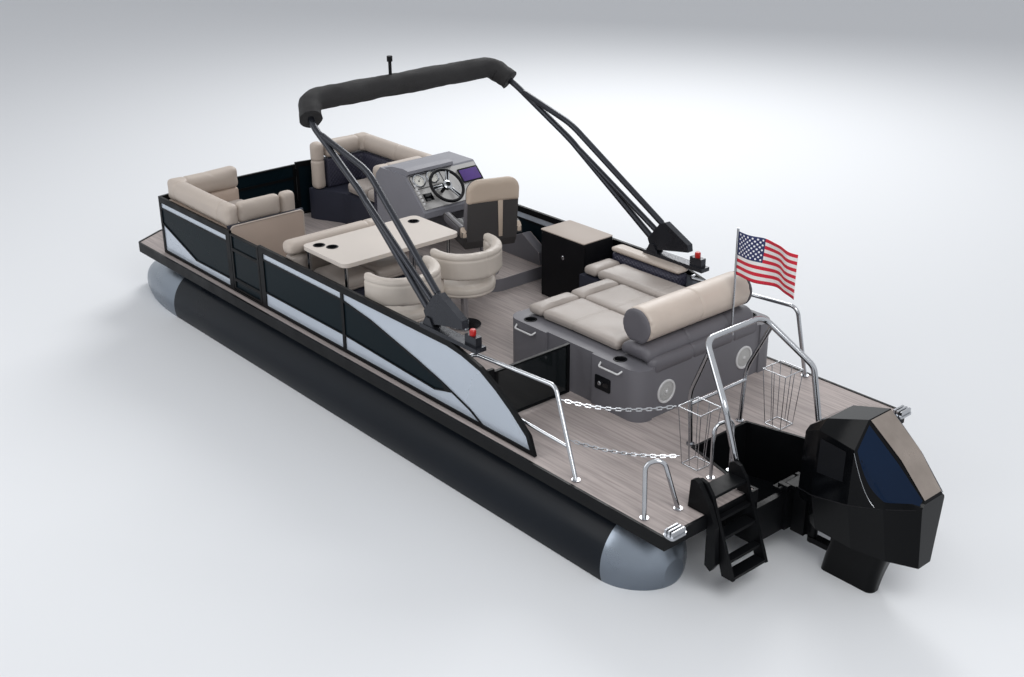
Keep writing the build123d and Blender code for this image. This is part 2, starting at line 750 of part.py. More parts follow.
platform_top = 120
helm_platform = block((3800, 5400), (-FURNITURE_OUTER, -430), (0, platform_top))
helm_platform = fillet(upright_edge(helm_platform, 3800, -430), 220)
wing_outline = [(3815, platform_top), (3830, 250), (4060, 380), (4240, 300), (4420, platform_top)]
helm_platform += plate_from_side(wing_outline, (-FURNITURE_OUTER, -1085))
console_offsets = (-FURNITURE_OUTER, -350)
console_outline = [
    (4980, platform_top), (5400, platform_top), (5400, 780), (5280, 900),
    (4900, 900), (4600, 600), (4600, 545), (4980, 460),
]
helm_console = plate_from_side(console_outline, console_offsets)
helm_console = fillet(upright_edge(helm_console, 5400, console_offsets[1]), 60)
hood_outline = [(4892, 888), (4848, 918), (4856, 944), (4930, 954), (5120, 938), (5260, 895), (5200, 870)]
helm_console += plate_from_side(hood_outline, (-900, console_offsets[1] - 20))
dash_angle = 45
dash_wall = 14
dash_middle = at(4750, -770, 750)
dash_normal = Vector(-math.sin(math.radians(dash_angle)), 0, math.cos(math.radians(dash_angle)))
dash_size = (370, 790)
gauge_radius = 62
gauge_rim = 6
gauge_height = 12
# Gauges, radio and screen: place up the dash and across it from its middle
dash_gauges = [(115, 305), (125, 140)]
radio_place, radio_size = (-70, 300), (90, 110)
screen_place, screen_size = (56, -270), (150, 240)
dash_raised = dash_wall / 2 + gauge_height / 2
dash_panel = Box(*dash_size, dash_wall)
for up, across_dash in dash_gauges:
    rim = Cylinder(gauge_radius, gauge_height) - Cylinder(gauge_radius - gauge_rim, gauge_height)
    dash_panel += Pos(up, across_dash, dash_raised) * rim
dash_panel += Pos(*radio_place, dash_raised) * Box(*radio_size, gauge_height)
dash_panel += Pos(*screen_place, dash_raised) * fillet(
    Box(*screen_size, gauge_height).edges().filter_by(Axis.Z), 12
)
dash_panel = Rot(0, -dash_angle, 0) * dash_panel
dash_panel = Pos(*(dash_middle + dash_normal * (dash_wall / 2))) * dash_panel

wheel_place = at(4632, -650, 808)
wheel_rim = 170
wheel_tube = 15
wheel_spokes = 3
hub_half = 17
wheel = Torus(wheel_rim, wheel_tube) + Cylinder(42, 2 * hub_half)
for index in range(wheel_spokes):
    spoke = Rot(0, 0, 90 + index * 360 / wheel_spokes) * Pos(wheel_rim / 2, 0, 0) * Box(wheel_rim, 34, 8)
    wheel = wheel + spoke
shaft_length = (wheel_place - dash_middle).dot(dash_normal) - hub_half - dash_wall - SEAT_GAP
wheel = wheel + Pos(0, 0, -shaft_length / 2 - hub_half) * Cylinder(16, shaft_length)
steering_wheel = Pos(*wheel_place) * Rot(0, -dash_angle, 0) * wheel

captain_station, captain_offset = 4060, -600
captain_seat_low = 440
captain_turn = -20
shell_half = 235
arm_outer = 284
seat_top = 590
captain_axis = Axis(at(captain_station, captain_offset, 0), (0, 0, 1))
shell_outline = [
    (3800, 520), (3850, captain_seat_low), (4310, captain_seat_low), (4332, 470), (4320, 500),
    (3905, 500), (3868, 560), (3790, 1085), (3762, 1098), (3722, 1085),
]
shell_offsets = (captain_offset - shell_half, captain_offset + shell_half)
shell_limit = block((3700, 4340), shell_offsets, (captain_seat_low, 1100))
shell_limit = fillet(shell_limit.edges().filter_by(Axis.X).group_by(Axis.Z)[-1], 110)
captain_shell = plate_from_side(shell_outline, shell_offsets)
arm_outline = [
    (3790, 560), (3790, 615), (3850, 655), (4290, 655), (4325, 632), (4325, 602), (4290, 588),
    (4230, 585), (4200, 470), (4120, 470), (4100, 585), (3880, 570),
]
captain_arms = [
    plate_from_side(arm_outline, (captain_offset + low, captain_offset + low + arm_outer - shell_half + 4))
    for low in (shell_half - 4, -arm_outer)
]
captain_foot = pedestal(captain_station, captain_offset, captain_seat_low - 30, captain_seat_low, 90)
captain_chair_frame = join([captain_shell & shell_limit, *captain_arms, captain_foot])
captain_chair_frame = captain_chair_frame.rotate(captain_axis, captain_turn)
pad_heights = (seat_top + 2, 1072)
face_low, face_high = shell_outline[6:8]
face_lean = (face_low[0] - face_high[0]) / (face_high[1] - face_low[1])
pad_rear = [face_low[0] - face_lean * (height - face_low[1]) + 2 * SEAT_GAP for height in pad_heights]
pad_outline = [
    (pad_rear[0], pad_heights[0]), (pad_rear[0] + 60, pad_heights[0]),
    (pad_rear[1] + 55, pad_heights[1]), (pad_rear[1], pad_heights[1]),
]
back_pad = plate_from_side(pad_outline, (captain_offset - 190, captain_offset + 190))
seat_pad = block(
    (3935, 4330), (captain_offset - 222, captain_offset + 222), (500 + SEAT_GAP, seat_top), 60
)
captain_cushions = group(*[pad.rotate(captain_axis, captain_turn) for pad in (seat_pad, back_pad)])
chair_pedestals = group(
    *[pedestal(s, y, 0, bucket_seat_low - SEAT_GAP, 140) for s, y in bucket_places.values()],
    pedestal(captain_station, captain_offset, platform_top, captain_seat_low - 30 - SEAT_GAP, 150),
)

# Cabinet with a door on its port face

cabinet_stations = (2960, 3510)
cabinet_offsets = (-FURNITURE_OUTER, -850)
cabinet_height = 590
cabinet_wall = 14
door_wall = 18
lid = 30
cabinet_body = block(cabinet_stations, cabinet_offsets, (0, cabinet_height))
cabinet_inside = block(
    (cabinet_stations[0] + cabinet_wall, cabinet_stations[1] - cabinet_wall),
    (cabinet_offsets[0] + cabinet_wall, cabinet_offsets[1]),
    (cabinet_wall, cabinet_height - cabinet_wall),
)
cabinet_body -= cabinet_inside
lid_offsets = (cabinet_offsets[0], cabinet_offsets[1] + 24)
cabinet_body += eased(block(cabinet_stations, lid_offsets, (cabinet_height, cabinet_height + lid), 20), 10)
door_gap = 3
cabinet_door = block(
    (cabinet_stations[0] + door_gap, cabinet_stations[1] - door_gap),
    (cabinet_offsets[1] + SEAT_GAP, cabinet_offsets[1] + SEAT_GAP + door_wall),
    (2 * door_gap, cabinet_height - door_gap),
)
# Barrel hinges at the door's forward edge: a barrel on the door between two lugs on the body
door_hinge = (cabinet_stations[1] + door_gap, cabinet_offsets[1] + 6)
door_barrel, lug_barrel = 6.5, 5
lug_half = 12
for height in (110, 480):
    cabinet_door += post(*door_hinge, (height - 30, height + 30), door_barrel)
    for end in (height - 30 - SEAT_GAP - lug_half, height + 30 + SEAT_GAP + lug_half):
        lug_heights = (end - lug_half, end + lug_half)
        cabinet_body += post(*door_hinge, lug_heights, lug_barrel)
        cabinet_body += block(
            (cabinet_stations[1] - door_gap + SEAT_GAP, door_hinge[0]),
            (cabinet_offsets[1] - 6, door_hinge[1]),
            lug_heights,
        )

# Folding tower

base_low = FENCE_TOP + SEAT_GAP
base_high = FENCE_TOP + 34
ear_gap = 32
ear_wall = 10
tower_ears = []
for side in (-1, 1):
    middle = TOWER_HINGE_OFFSET + side * (ear_gap + ear_wall / 2)
    ear = plate_from_side(
        [
            (TOWER_HINGE_STATION - 60, base_high), (TOWER_HINGE_STATION + 60, base_high),
            (TOWER_HINGE_STATION + 26, TOWER_HINGE_HEIGHT + 24), (TOWER_HINGE_STATION - 26, TOWER_HINGE_HEIGHT + 24),
        ],
        (middle - ear_wall / 2, middle + ear_wall / 2),
    )
    tower_ears.append(ear)
tower_pin = cross_bar(
    TOWER_HINGE_STATION,
    TOWER_HINGE_HEIGHT,
    (TOWER_HINGE_OFFSET - ear_gap - ear_wall, TOWER_HINGE_OFFSET + ear_gap + ear_wall),
    TOWER_PIN,
)
tower_plate = block((1900, 2560), (1140, 1236), (base_low, base_high))
lock_block = block((1925, 2050), (1160, 1216), (base_high, 690))
lock_knob = post(1990, 1188, (690, 730), 20)
tower_base = join([tower_plate, *tower_ears, tower_pin, lock_block, lock_knob])
tower_brackets = both_sides(tower_base)

casting_half = ear_gap - 3
tower_casting = plate_from_side(
    [
        (TOWER_HINGE_STATION - 24, TOWER_HINGE_HEIGHT - 22), (TOWER_HINGE_STATION + 24, TOWER_HINGE_HEIGHT - 14),
        (TOWER_HINGE_STATION + 60, 720), (2400, 880), (2340, 905), (2080, 775), (2070, 715), (2350, 660),
    ],
    (TOWER_HINGE_OFFSET - casting_half, TOWER_HINGE_OFFSET + casting_half),
)
tower_casting -= cross_bar(
    TOWER_HINGE_STATION,
    TOWER_HINGE_HEIGHT,
    (TOWER_HINGE_OFFSET - ear_gap, TOWER_HINGE_OFFSET + ear_gap),
    TOWER_PIN + PIN_CLEARANCE,
)
hoop_points = [(2470, 1188, 700), (3450, 1110, 1405), (4190, 1065, 1810), (4330, 940, 1925)]
arch = [*hoop_points, *[(s, -y, h) for s, y, h in reversed(hoop_points)]]
arch_bends = [900, 500, 130, 130, 500, 900]
tower_arch = rod(arch, TOWER_TUBE, arch_bends)
rear_points = [(2345, 1188, 850), (3390, 1062, 1560), (4060, 1072, 1735)]
tower_rear = rod(rear_points, TOWER_TUBE * 0.8, 600)
tower_middle = rod([(2400, 1188, 770), (3520, 1104, 1440)], TOWER_TUBE * 0.8)
tower_frame = join(
    [tower_arch, tower_casting, mirrored(tower_casting), tower_rear, mirrored(tower_rear),
     tower_middle, mirrored(tower_middle)]
)
boot_low = 1800
tower_boot = rod(arch, BOOT_RADIUS, arch_bends) - rod(arch, TOWER_TUBE + SOFT_GAP, arch_bends)
tower_boot -= block((0, DECK_LENGTH), (-BEAM, BEAM), (0, boot_low))
light_offset = 150
light_radius = 14
light_base = 1925 + TOWER_TUBE + SEAT_GAP
tower_boot -= post(4330, light_offset, (light_base - TOWER_TUBE, 2100), light_radius + SOFT_GAP)
anchor_light = post(4330, light_offset, (light_base, 2170), light_radius) + post(
    4330, light_offset, (2125, 2170), 24
)

# Stern fittings

RAIL_FOOT = 30
FOOT_HEIGHT = 10
BURIED = 40
rail_start = [(2020, fence_inner - SEAT_GAP, 515), (2020, 1140, 515)]
port_rail = above_deck(join([
    rod([*rail_start, (1217, 1100, 545), (856, 1226, -BURIED)], RAIL_TUBE, [40, 90]),
    rod([(1540, fence_inner - SEAT_GAP, 200), (1540, 1165, 200), (992, 1175, 190)], RAIL_TUBE * 0.8, 30),
    post(880, 1218, (SEAT_GAP, FOOT_HEIGHT), RAIL_FOOT),
]))
starboard_rail = mirrored(above_deck(join([
    rod([*rail_start, (936, 1150, 585), (861, 1238, -BURIED)], RAIL_TUBE, [40, 70]),
    post(866, 1232, (SEAT_GAP, FOOT_HEIGHT), RAIL_FOOT),
])))
grab_loop = above_deck(join([
    rod([(240, 1226, -BURIED), (330, 1140, 330), (250, 1060, 380), (176, 964, -BURIED)], RAIL_TUBE, [60, 60]),
    post(248, 1218, (SEAT_GAP, FOOT_HEIGHT), RAIL_FOOT),
    post(184, 972, (SEAT_GAP, FOOT_HEIGHT), RAIL_FOOT),
]))
loop_legs = [(305, 520), (285, 345)]
ladder_loop = join([
    rod([(*loop_legs[0], SEAT_GAP), (*loop_legs[0], 400), (*loop_legs[1], 400), (*loop_legs[1], SEAT_GAP)],
        RAIL_TUBE * 0.75, [60, 60]),
    *[post(*leg, (SEAT_GAP, FOOT_HEIGHT), RAIL_FOOT * 0.9) for leg in loop_legs],
])
cleat_foot = TRIM_LIP + SEAT_GAP
corner_cleat = join([
    block((-60, 30), (1150, 1290), (cleat_foot, cleat_foot + 16), 20),
    *[eased(block((aft, aft + 18), (1162, 1278), (cleat_foot, 60)), 7) for aft in (-52, -24, 4)],
])
stern_rails = group(port_rail, starboard_rail, grab_loop, ladder_loop, corner_cleat, mirrored(corner_cleat))

hoop_side = [(109, 434, -BURIED), (262, 470, 535), (601, 297, 855)]
hoop_path = [*hoop_side, *[(s, -y, h) for s, y, h in reversed(hoop_side)]]
hoop_arch = rod(hoop_path, HOOP_TUBE, [120, 110, 110, 120])
brace = rod([(714, 262, -BURIED), (714, 300, 420), (542, 331, 800)], RAIL_TUBE, 300)
hoop_foot = post(120, 439, (SEAT_GAP, FOOT_HEIGHT), HOOP_TUBE + 2)
brace_foot = post(714, 266, (SEAT_GAP, FOOT_HEIGHT), RAIL_FOOT)
brace_tie = cross_bar(708, 330, (-292, 292), RAIL_TUBE * 0.8)
tow_hoop = above_deck(join([
    hoop_arch, brace, mirrored(brace), brace_tie, hoop_foot, mirrored(hoop_foot), brace_foot,
    mirrored(brace_foot),
]))

BASKET_STATION, BASKET_OFFSET = 500, 445
BASKET_RIM, BASKET_RIM_HALF, BASKET_FOOT_HALF = 440, 100, 70


def basket(side):
    """An open wire basket: a rim, a foot hoop and upright wires."""
    bars = []
    foot_height = WIRE_RADIUS + SEAT_GAP
    for height, reach in ((BASKET_RIM, BASKET_RIM_HALF), (foot_height, BASKET_FOOT_HALF)):
        corners = [(1, 1), (1, -1), (-1, -1), (-1, 1), (1, 1)]
        places = [
            (BASKET_STATION + a * reach, side * BASKET_OFFSET + b * reach, height) for a, b in corners
        ]
        for start, end in zip(places[:-1], places[1:]):
            bars.append(rod([start, end], WIRE_RADIUS))
        bars.extend([Pos(*at(*place)) * Sphere(WIRE_RADIUS) for place in places[:-1]])
    for a, b in ((1, 1), (1, -1), (-1, -1), (-1, 1), (1, 0), (-1, 0), (0, 1), (0, -1)):
        low = (
            BASKET_STATION + a * BASKET_FOOT_HALF,
            side * BASKET_OFFSET + b * BASKET_FOOT_HALF,
            foot_height,
        )
        high = (BASKET_STATION + a * BASKET_RIM_HALF, side * BASKET_OFFSET + b * BASKET_RIM_HALF, BASKET_RIM)
        bars.append(rod([low, high], WIRE_RADIUS * 0.75))
    return join(bars)


wire_baskets = group(basket(1), basket(-1))

# Chains: the rail's axis, the basket's wire, the sag and how far the shank starts off the rail's axis
chain_rows = [
    ((1167, 1117, 470), (604, 549, BASKET_RIM), 48, 18.8),
    ((1015, 1170, 240), (578, 523, 60), 40, 17.8),
]
BASKET_EYE = 6
SHANK_LENGTH = 24
LINK_WIRE = 7
LINK_WIDTH = 26
LINK_PITCH = 34
LINK_PLAY = 0.5


def chain_link(pitch):
    """A flat-sided link lying along X, with its next neighbours' wires inside its ends."""
    outside = Rectangle(pitch + LINK_PLAY + 2 * LINK_WIRE, LINK_WIDTH)
    inside = Rectangle(pitch + LINK_PLAY, LINK_WIDTH - 2 * LINK_WIRE)
    ring = chamfer(outside.vertices(), LINK_WIDTH / 3) - chamfer(inside.vertices(), LINK_WIRE / 4)
    return extrude(ring, amount=LINK_WIRE / 2, both=True)


def chain(rail_point, basket_point, sag, rail_eye):
    """Links that hang between two shanks, each turned a quarter from the one before."""
    ends = Vector(*rail_point), Vector(*basket_point)
    dip = (ends[0] + ends[1]) / 2 - Vector(0, 0, 2 * sag)
    toward_dip = [(dip - end).normalized() for end in ends]
    starts = [ends[0] + toward_dip[0] * rail_eye, ends[1] + toward_dip[1] * BASKET_EYE]
    tips = [start + along * SHANK_LENGTH for start, along in zip(starts, toward_dip)]
    shanks = [rod([tuple(start), tuple(tip)], CHAIN_RADIUS) for start, tip in zip(starts, tips)]
    places = [at(*point) for point in (tips[0], dip, tips[1])]
    hang = Bezier(*places)
    slack = 2 * SEAT_GAP + LINK_PLAY + 2 * LINK_WIRE
    count = round((hang.length - slack) / LINK_PITCH)
    pitch = (hang.length - slack) / count
    link = chain_link(pitch)
    links = []
    for index in range(count):
        share = (slack / 2 + (index + 0.5) * pitch) / hang.length
        along = hang % share
        level = along.cross(Vector(0, 0, 1)).normalized()
        quarter = 1 if index % 2 else -1
        facing = level + along.cross(level) * quarter
        links.append(Plane(origin=hang @ share, x_dir=along, z_dir=facing) * link)
    return group(*shanks, *links)


chains = group(*[chain(*row) for row in chain_rows])

POLE_RADIUS = 9
POLE_STATION, POLE_OFFSET = 1172, -670
flag_pole = post(POLE_STATION, POLE_OFFSET, (aft_low, 1275), POLE_RADIUS)
flag_pole += post(POLE_STATION, POLE_OFFSET, (aft_low, aft_low + 70), 2 * POLE_RADIUS)
flag = block(
    (POLE_STATION - 560, POLE_STATION - POLE_RADIUS - SEAT_GAP), (POLE_OFFSET - 3, POLE_OFFSET + 3), (880, 1250)
)

# Boarding ladder

ladder_offsets = (500, 857)
ladder_hinge = (120, 178)
stringer_wall = 26
bracket_gap = 6
hinge_pin = 8
tread_wall = 22

# Treads from the top: aft edge's station, height, depth
treads = [
    (5, 120, 143),
    (-47, -25, 38),
    (-98, -135, 88),
    (-152, -290, 60),
    (-200, -390, 90),
]
stringer_outline = [
    (152, 112), (152, 190), (110, 212), (60, 200), (5, 130), (-206, -412), (-112, -412),
    (-8, -90), (-8, 20), (70, 20), (110, 96),
]
ladder_parts = [
    block(
        (aft, aft + depth),
        (ladder_offsets[0] + stringer_wall / 2, ladder_offsets[1] - stringer_wall / 2),
        (height - tread_wall, height),
    )
    for aft, height, depth in treads
]
for low in (ladder_offsets[0], ladder_offsets[1] - stringer_wall):
    ladder_parts.append(plate_from_side(stringer_outline, (low, low + stringer_wall)))
boarding_ladder = join(ladder_parts) - cross_bar(*ladder_hinge, ladder_offsets, hinge_pin + HINGE_PLAY)

bracket_foot = TRIM_LIP + SEAT_GAP
bracket_outline = [
    (165, bracket_foot), (150, 205), (120, 222), (85, 205), (-10, 80), (-70, -60), (-90, -330),
    (-50, -390), (-2, -360), (-2, bracket_foot),
]
port_bracket = plate_from_side(bracket_outline, (ladder_offsets[1] + bracket_gap, ladder_offsets[1] + 46))
port_bracket += cross_bar(
    *ladder_hinge, (ladder_offsets[1] - stringer_wall, ladder_offsets[1] + bracket_gap), hinge_pin
)
starboard_bracket = plate_from_side(
    [(118, bracket_foot), (134, 205), (120, 222), (85, 205), (-2, bracket_foot)],
    (ladder_offsets[0] - bracket_gap / 2 - 5, ladder_offsets[0] - bracket_gap / 2),
)
starboard_bracket += cross_bar(
    *ladder_hinge, (ladder_offsets[0] - bracket_gap / 2, ladder_offsets[0] + stringer_wall), hinge_pin
)
ladder_brackets = group(port_bracket, starboard_bracket)

# Outboard

clamp_half = 110
ear_low, ear_high = KNUCKLE_HALF + RUNNING_GAP, KNUCKLE_HALF + 40
hook_heights = (HOOK_TOP - HOOK_WALL, HOOK_TOP)
arm_heights = (HOOK_TOP + RUNNING_GAP, TILT_HEIGHT + KNUCKLE)
clamp_plate = block((-30, 0), (-clamp_half, clamp_half), (-420, HOOK_TOP))
clamp_hook = block((-30, 95), (-clamp_half, clamp_half), hook_heights)
clamp_ears = [
    block((TILT_STATION - 40, TILT_STATION + 40), offsets, (hook_heights[0], arm_heights[1]))
    for offsets in ((ear_low, ear_high), (-ear_high, -ear_low))
]
knuckle_room = cross_bar(TILT_STATION, TILT_HEIGHT, (-ear_low, ear_low), KNUCKLE + RUNNING_GAP)
tilt_tube = cross_bar(TILT_STATION, TILT_HEIGHT, (-150, 150), TILT_TUBE)
clamp_bracket = join([join([clamp_plate, clamp_hook, *clamp_ears]) - knuckle_room, tilt_tube])
swivel_bracket = block((-150, -40), (-60, 60), (-430, arm_heights[1])) + block(
    (-60, TILT_STATION), (-KNUCKLE_HALF, KNUCKLE_HALF), arm_heights
)
swivel_bracket += cross_bar(TILT_STATION, TILT_HEIGHT, (-KNUCKLE_HALF, KNUCKLE_HALF), KNUCKLE)
swivel_bracket -= cross_bar(TILT_STATION, TILT_HEIGHT, (-ear_low, ear_low), TILT_TUBE + HINGE_PLAY)
KING_PIN = 14
KING_SLEEVE = 30
SLEEVE_HEIGHTS = (-430, -140)
swivel_bracket += post(STEER_STATION, 0, SLEEVE_HEIGHTS, KING_SLEEVE)
swivel_bracket += block((STEER_STATION, -140), (-24, 24), SLEEVE_HEIGHTS)
swivel_bracket -= post(STEER_STATION, 0, SLEEVE_HEIGHTS, KING_PIN + HINGE_PLAY)

# Cowl sections from the front: station, then half width and height of the top plate's edge, the
# shoulder, the belt and the sill
cowl_sections = [
    (-165, (125, 455), (165, 425), (188, 10), (120, -200)),
    (-300, (138, 560), (212, 500), (232, 30), (150, -262)),
    (-585, (116, 653), (236, 480), (246, 90), (150, -275)),
    (-830, (108, 462), (214, 240), (232, 165), (126, -262)),
    (-1030, (95, 238), (116, 222), (122, 205), (66, -245)),
]
COWL_WALL = 12
POWERHEAD_STATIONS = (-780, -290)
POWERHEAD_HEIGHTS = (-300, 380)
POWERHEAD_HALF = 105
LEG_TOP = -240


def cowl_face(station, corners, inset=0):
    """An upright section through the cowl, drawn in by the inset."""
    port = [(half - inset, height - inset * math.copysign(1, height)) for half, height in corners]
    outline = [*port, *[(-half, height) for half, height in reversed(port)]]
    return make_face(Polyline(*[at(station, half, height) for half, height in outline], close=True))


cowl_front, cowl_aft = cowl_sections[0][0], cowl_sections[-1][0]
COWL_STEP_STATION = -250
COWL_STEP_HEIGHT = arm_heights[1] + RUNNING_GAP + 2


def cowl_form(inset):
    """The cowl's form drawn in by an inset, stepped up over the swivel bracket."""
    stations = [cowl_front - inset, *[row[0] for row in cowl_sections[1:-1]], cowl_aft + inset]
    form = loft(
        [cowl_face(station, corners, inset) for station, (_, *corners) in zip(stations, cowl_sections)],
        ruled=True,
    )
    half_widths = [half for _, *corners in cowl_sections for half, _ in corners]
    sill_heights = [corners[-1][1] for _, *corners in cowl_sections]
    step = block(
        (COWL_STEP_STATION - inset, 0), (-max(half_widths), max(half_widths)),
        (min(sill_heights) + inset - COWL_WALL, COWL_STEP_HEIGHT + inset),
    )
    return form - step


def section_face(height, forward, aft, half, corner):
    """A level rounded rectangle."""
    rectangle = RectangleRounded(forward - aft, 2 * half, corner)
    return Pos(*at((forward + aft) / 2, 0, height)) * rectangle


outboard_cowl = cowl_form(0) - cowl_form(COWL_WALL)
powerhead = block(POWERHEAD_STATIONS, (-POWERHEAD_HALF, POWERHEAD_HALF), POWERHEAD_HEIGHTS)
powerhead = powerhead & cowl_form(COWL_WALL + SEAT_GAP)
leg = loft([
    section_face(LEG_TOP, -390, -820, 95, 60),
    section_face(-600, -300, -720, 62, 50),
    section_face(PLATE_HEIGHT, -260, -700, 46, 40),
]) - cowl_form(-SEAT_GAP)
plate = block((-760, -250), (-95, 95), (PLATE_HEIGHT - 8, PLATE_HEIGHT), 60)
strut = loft([
    section_face(PLATE_HEIGHT, -280, -600, 44, 40),
    section_face(SHAFT_HEIGHT, -290, -570, 40, 36),
])
torpedo_profile = [
    ThreePointArc((300, 0), (215, 40), (90, 56)).edge(),
    Line((90, 56), (-130, 52)).edge(),
    Line((-130, 52), (-130, 0)).edge(),
    Line((-130, 0), (300, 0)).edge(),
]
torpedo_end = 130
torpedo_station = -450
torpedo = Pos(*at(torpedo_station, 0, SHAFT_HEIGHT)) * turned_cone(torpedo_profile)
skeg = plate_from_side(
    [(-330, SHAFT_HEIGHT), (-440, SHAFT_HEIGHT - 230), (-575, SHAFT_HEIGHT - 235), (-560, SHAFT_HEIGHT)], (-7, 7)
)
steering_head = post(
    STEER_STATION, 0, (SLEEVE_HEIGHTS[0] - 40, SLEEVE_HEIGHTS[0] - SEAT_GAP), KING_SLEEVE + 8
) + block((-420, STEER_STATION), (-34, 34), (SLEEVE_HEIGHTS[0] - 40, SLEEVE_HEIGHTS[0] - SEAT_GAP))
king_pin = post(STEER_STATION, 0, (SLEEVE_HEIGHTS[0] - 20, SLEEVE_HEIGHTS[1] + 20), KING_PIN)
king_cap = post(
    STEER_STATION, 0, (SLEEVE_HEIGHTS[1] + SEAT_GAP, SLEEVE_HEIGHTS[1] + 22), KING_SLEEVE
)
outboard_leg = join([leg, plate, strut, torpedo, skeg, steering_head, king_pin, king_cap])

hub_length = 130
hub_station = torpedo_station - torpedo_end - SEAT_GAP - hub_length / 2
hub = Pos(*at(hub_station, 0, SHAFT_HEIGHT)) * Rot(0, 90, 0) * Cylinder(50, hub_length)
# Blade sections: radius, chord, thickness, pitch
blade_rows = [(46, 90, 12, 62), (120, 130, 9, 38), (PROP_RADIUS, 70, 5, 24)]
blade = loft([
    Pos(0, 0, radius) * Rot(0, 0, pitch) * Rectangle(chord, thickness)
    for radius, chord, thickness, pitch in blade_rows
])
blades = [
    Pos(*at(hub_station, 0, SHAFT_HEIGHT)) * Rot(index * 360 / BLADE_COUNT, 0, 0) * blade
    for index in range(BLADE_COUNT)
]
propeller = join([hub, *blades])

nodes = {
    "pontoons": pontoons,
    "pontoon_cones": pontoon_cones,
    "lifting_strakes": lifting_strakes,
    "underframe": underframe,
    "deck": deck,
    "deck_trim": deck_trim,
    "motor_pod": motor_pod,
    "rail_frame_port": rail_frame_port,
    "rail_frame_starboard": rail_frame_starboard,
    "panels_light": panels_light,
    "panels_dark": panels_dark,
    "gate_port_frame": gate_port_frame,
    "gate_port_panels": gate_port_panels,
    "gate_bow_frame": gate_bow_frame,
    "gate_bow_panels": gate_bow_panels,
    "gate_aft_frame": gate_aft_frame,
    "gate_aft_glass": gate_aft_glass,
    "seat_bases": seat_bases,
    "chaise_base": chaise_base,
    "bow_seats": bow_seats,
    "bow_backs": bow_backs,
    "dinette_seat": dinette_seat,
    "dinette_back": dinette_back,
    "chaise_pads": chaise_pads,
    "chaise_back": chaise_back,
    "chaise_roll": chaise_roll,
    "side_seat": side_seat,
    "side_back": side_back,
    "table_top": table_top,
    "table_legs": table_legs,
    "chair_pedestals": chair_pedestals,
    "bucket_chair_forward": bucket_chair_forward,
    "bucket_chair_aft": bucket_chair_aft,
    "captain_chair_frame": captain_chair_frame,
    "captain_cushions": captain_cushions,
    "helm_platform": helm_platform,
    "helm_console": helm_console,
    "dash_panel": dash_panel,
    "steering_wheel": steering_wheel,
    "cabinet_body": cabinet_body,
    "cabinet_door": cabinet_door,
    "tower_brackets": tower_brackets,
    "tower_frame": tower_frame,
    "tower_boot": tower_boot,
    "anchor_light": anchor_light,
    "stern_rails": stern_rails,
    "tow_hoop": tow_hoop,
    "wire_baskets": wire_baskets,
    "chains": chains,
    "flag_pole": flag_pole,
    "flag": flag,
    "ladder_brackets": ladder_brackets,
    "boarding_ladder": boarding_ladder,
    "clamp_bracket": clamp_bracket,
    "swivel_bracket": swivel_bracket,
    "outboard_cowl": outboard_cowl,
    "powerhead": powerhead,
    "outboard_leg": outboard_leg,
    "propeller": propeller,
}
for name, shape in nodes.items():
    export_step(shape, f"parts/{name}.step")
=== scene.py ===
import json
import math

import bmesh
import bpy
from mathutils import Matrix, Vector, noise


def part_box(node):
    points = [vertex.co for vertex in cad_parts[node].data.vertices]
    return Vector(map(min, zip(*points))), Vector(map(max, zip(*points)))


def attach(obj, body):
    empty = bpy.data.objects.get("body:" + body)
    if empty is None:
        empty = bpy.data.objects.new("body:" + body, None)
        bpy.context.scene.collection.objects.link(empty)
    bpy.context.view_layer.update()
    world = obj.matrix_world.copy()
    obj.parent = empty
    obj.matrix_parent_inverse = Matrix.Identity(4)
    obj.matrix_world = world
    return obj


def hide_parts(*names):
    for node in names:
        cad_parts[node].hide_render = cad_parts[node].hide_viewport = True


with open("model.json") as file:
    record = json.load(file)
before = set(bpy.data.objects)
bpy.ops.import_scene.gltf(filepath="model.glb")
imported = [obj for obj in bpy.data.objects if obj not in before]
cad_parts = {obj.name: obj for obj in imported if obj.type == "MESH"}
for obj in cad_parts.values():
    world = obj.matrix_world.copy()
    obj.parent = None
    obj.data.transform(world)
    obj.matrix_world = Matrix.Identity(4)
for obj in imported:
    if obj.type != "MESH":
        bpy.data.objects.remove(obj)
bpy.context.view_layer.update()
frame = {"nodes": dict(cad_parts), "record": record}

# Places are a station forward of the deck's stern edge, an offset to port of the centreline
# and a height above the deck, in metres. The frame's origin is amidships at the waterline.
DECK_LENGTH = 7.470
DECK_Z = 0.610


def at(station, offset, height):
    """The point at a station, an offset to port and a height above the deck."""
    return Vector((station - DECK_LENGTH / 2, offset, DECK_Z + height))


def tone(red, green, blue):
    """A display colour of 0 to 255 a channel as the linear colour that a shader takes."""
    linear = []
    for part in (red, green, blue):
        share = part / 255
        linear.append(share / 12.92 if share <= 0.04045 else ((share + 0.055) / 1.055) ** 2.4)
    return (*linear, 1.0)


# Camera: beside the port quarter, looking forward and down
CAMERA_PLACE = Vector((-8.2058, 6.3493, 4.9567))
CAMERA_YAW = math.radians(-40.543)
CAMERA_PITCH = math.radians(24.031)
CAMERA_ROLL = math.radians(0.422)
CAMERA_LENS = 44.77


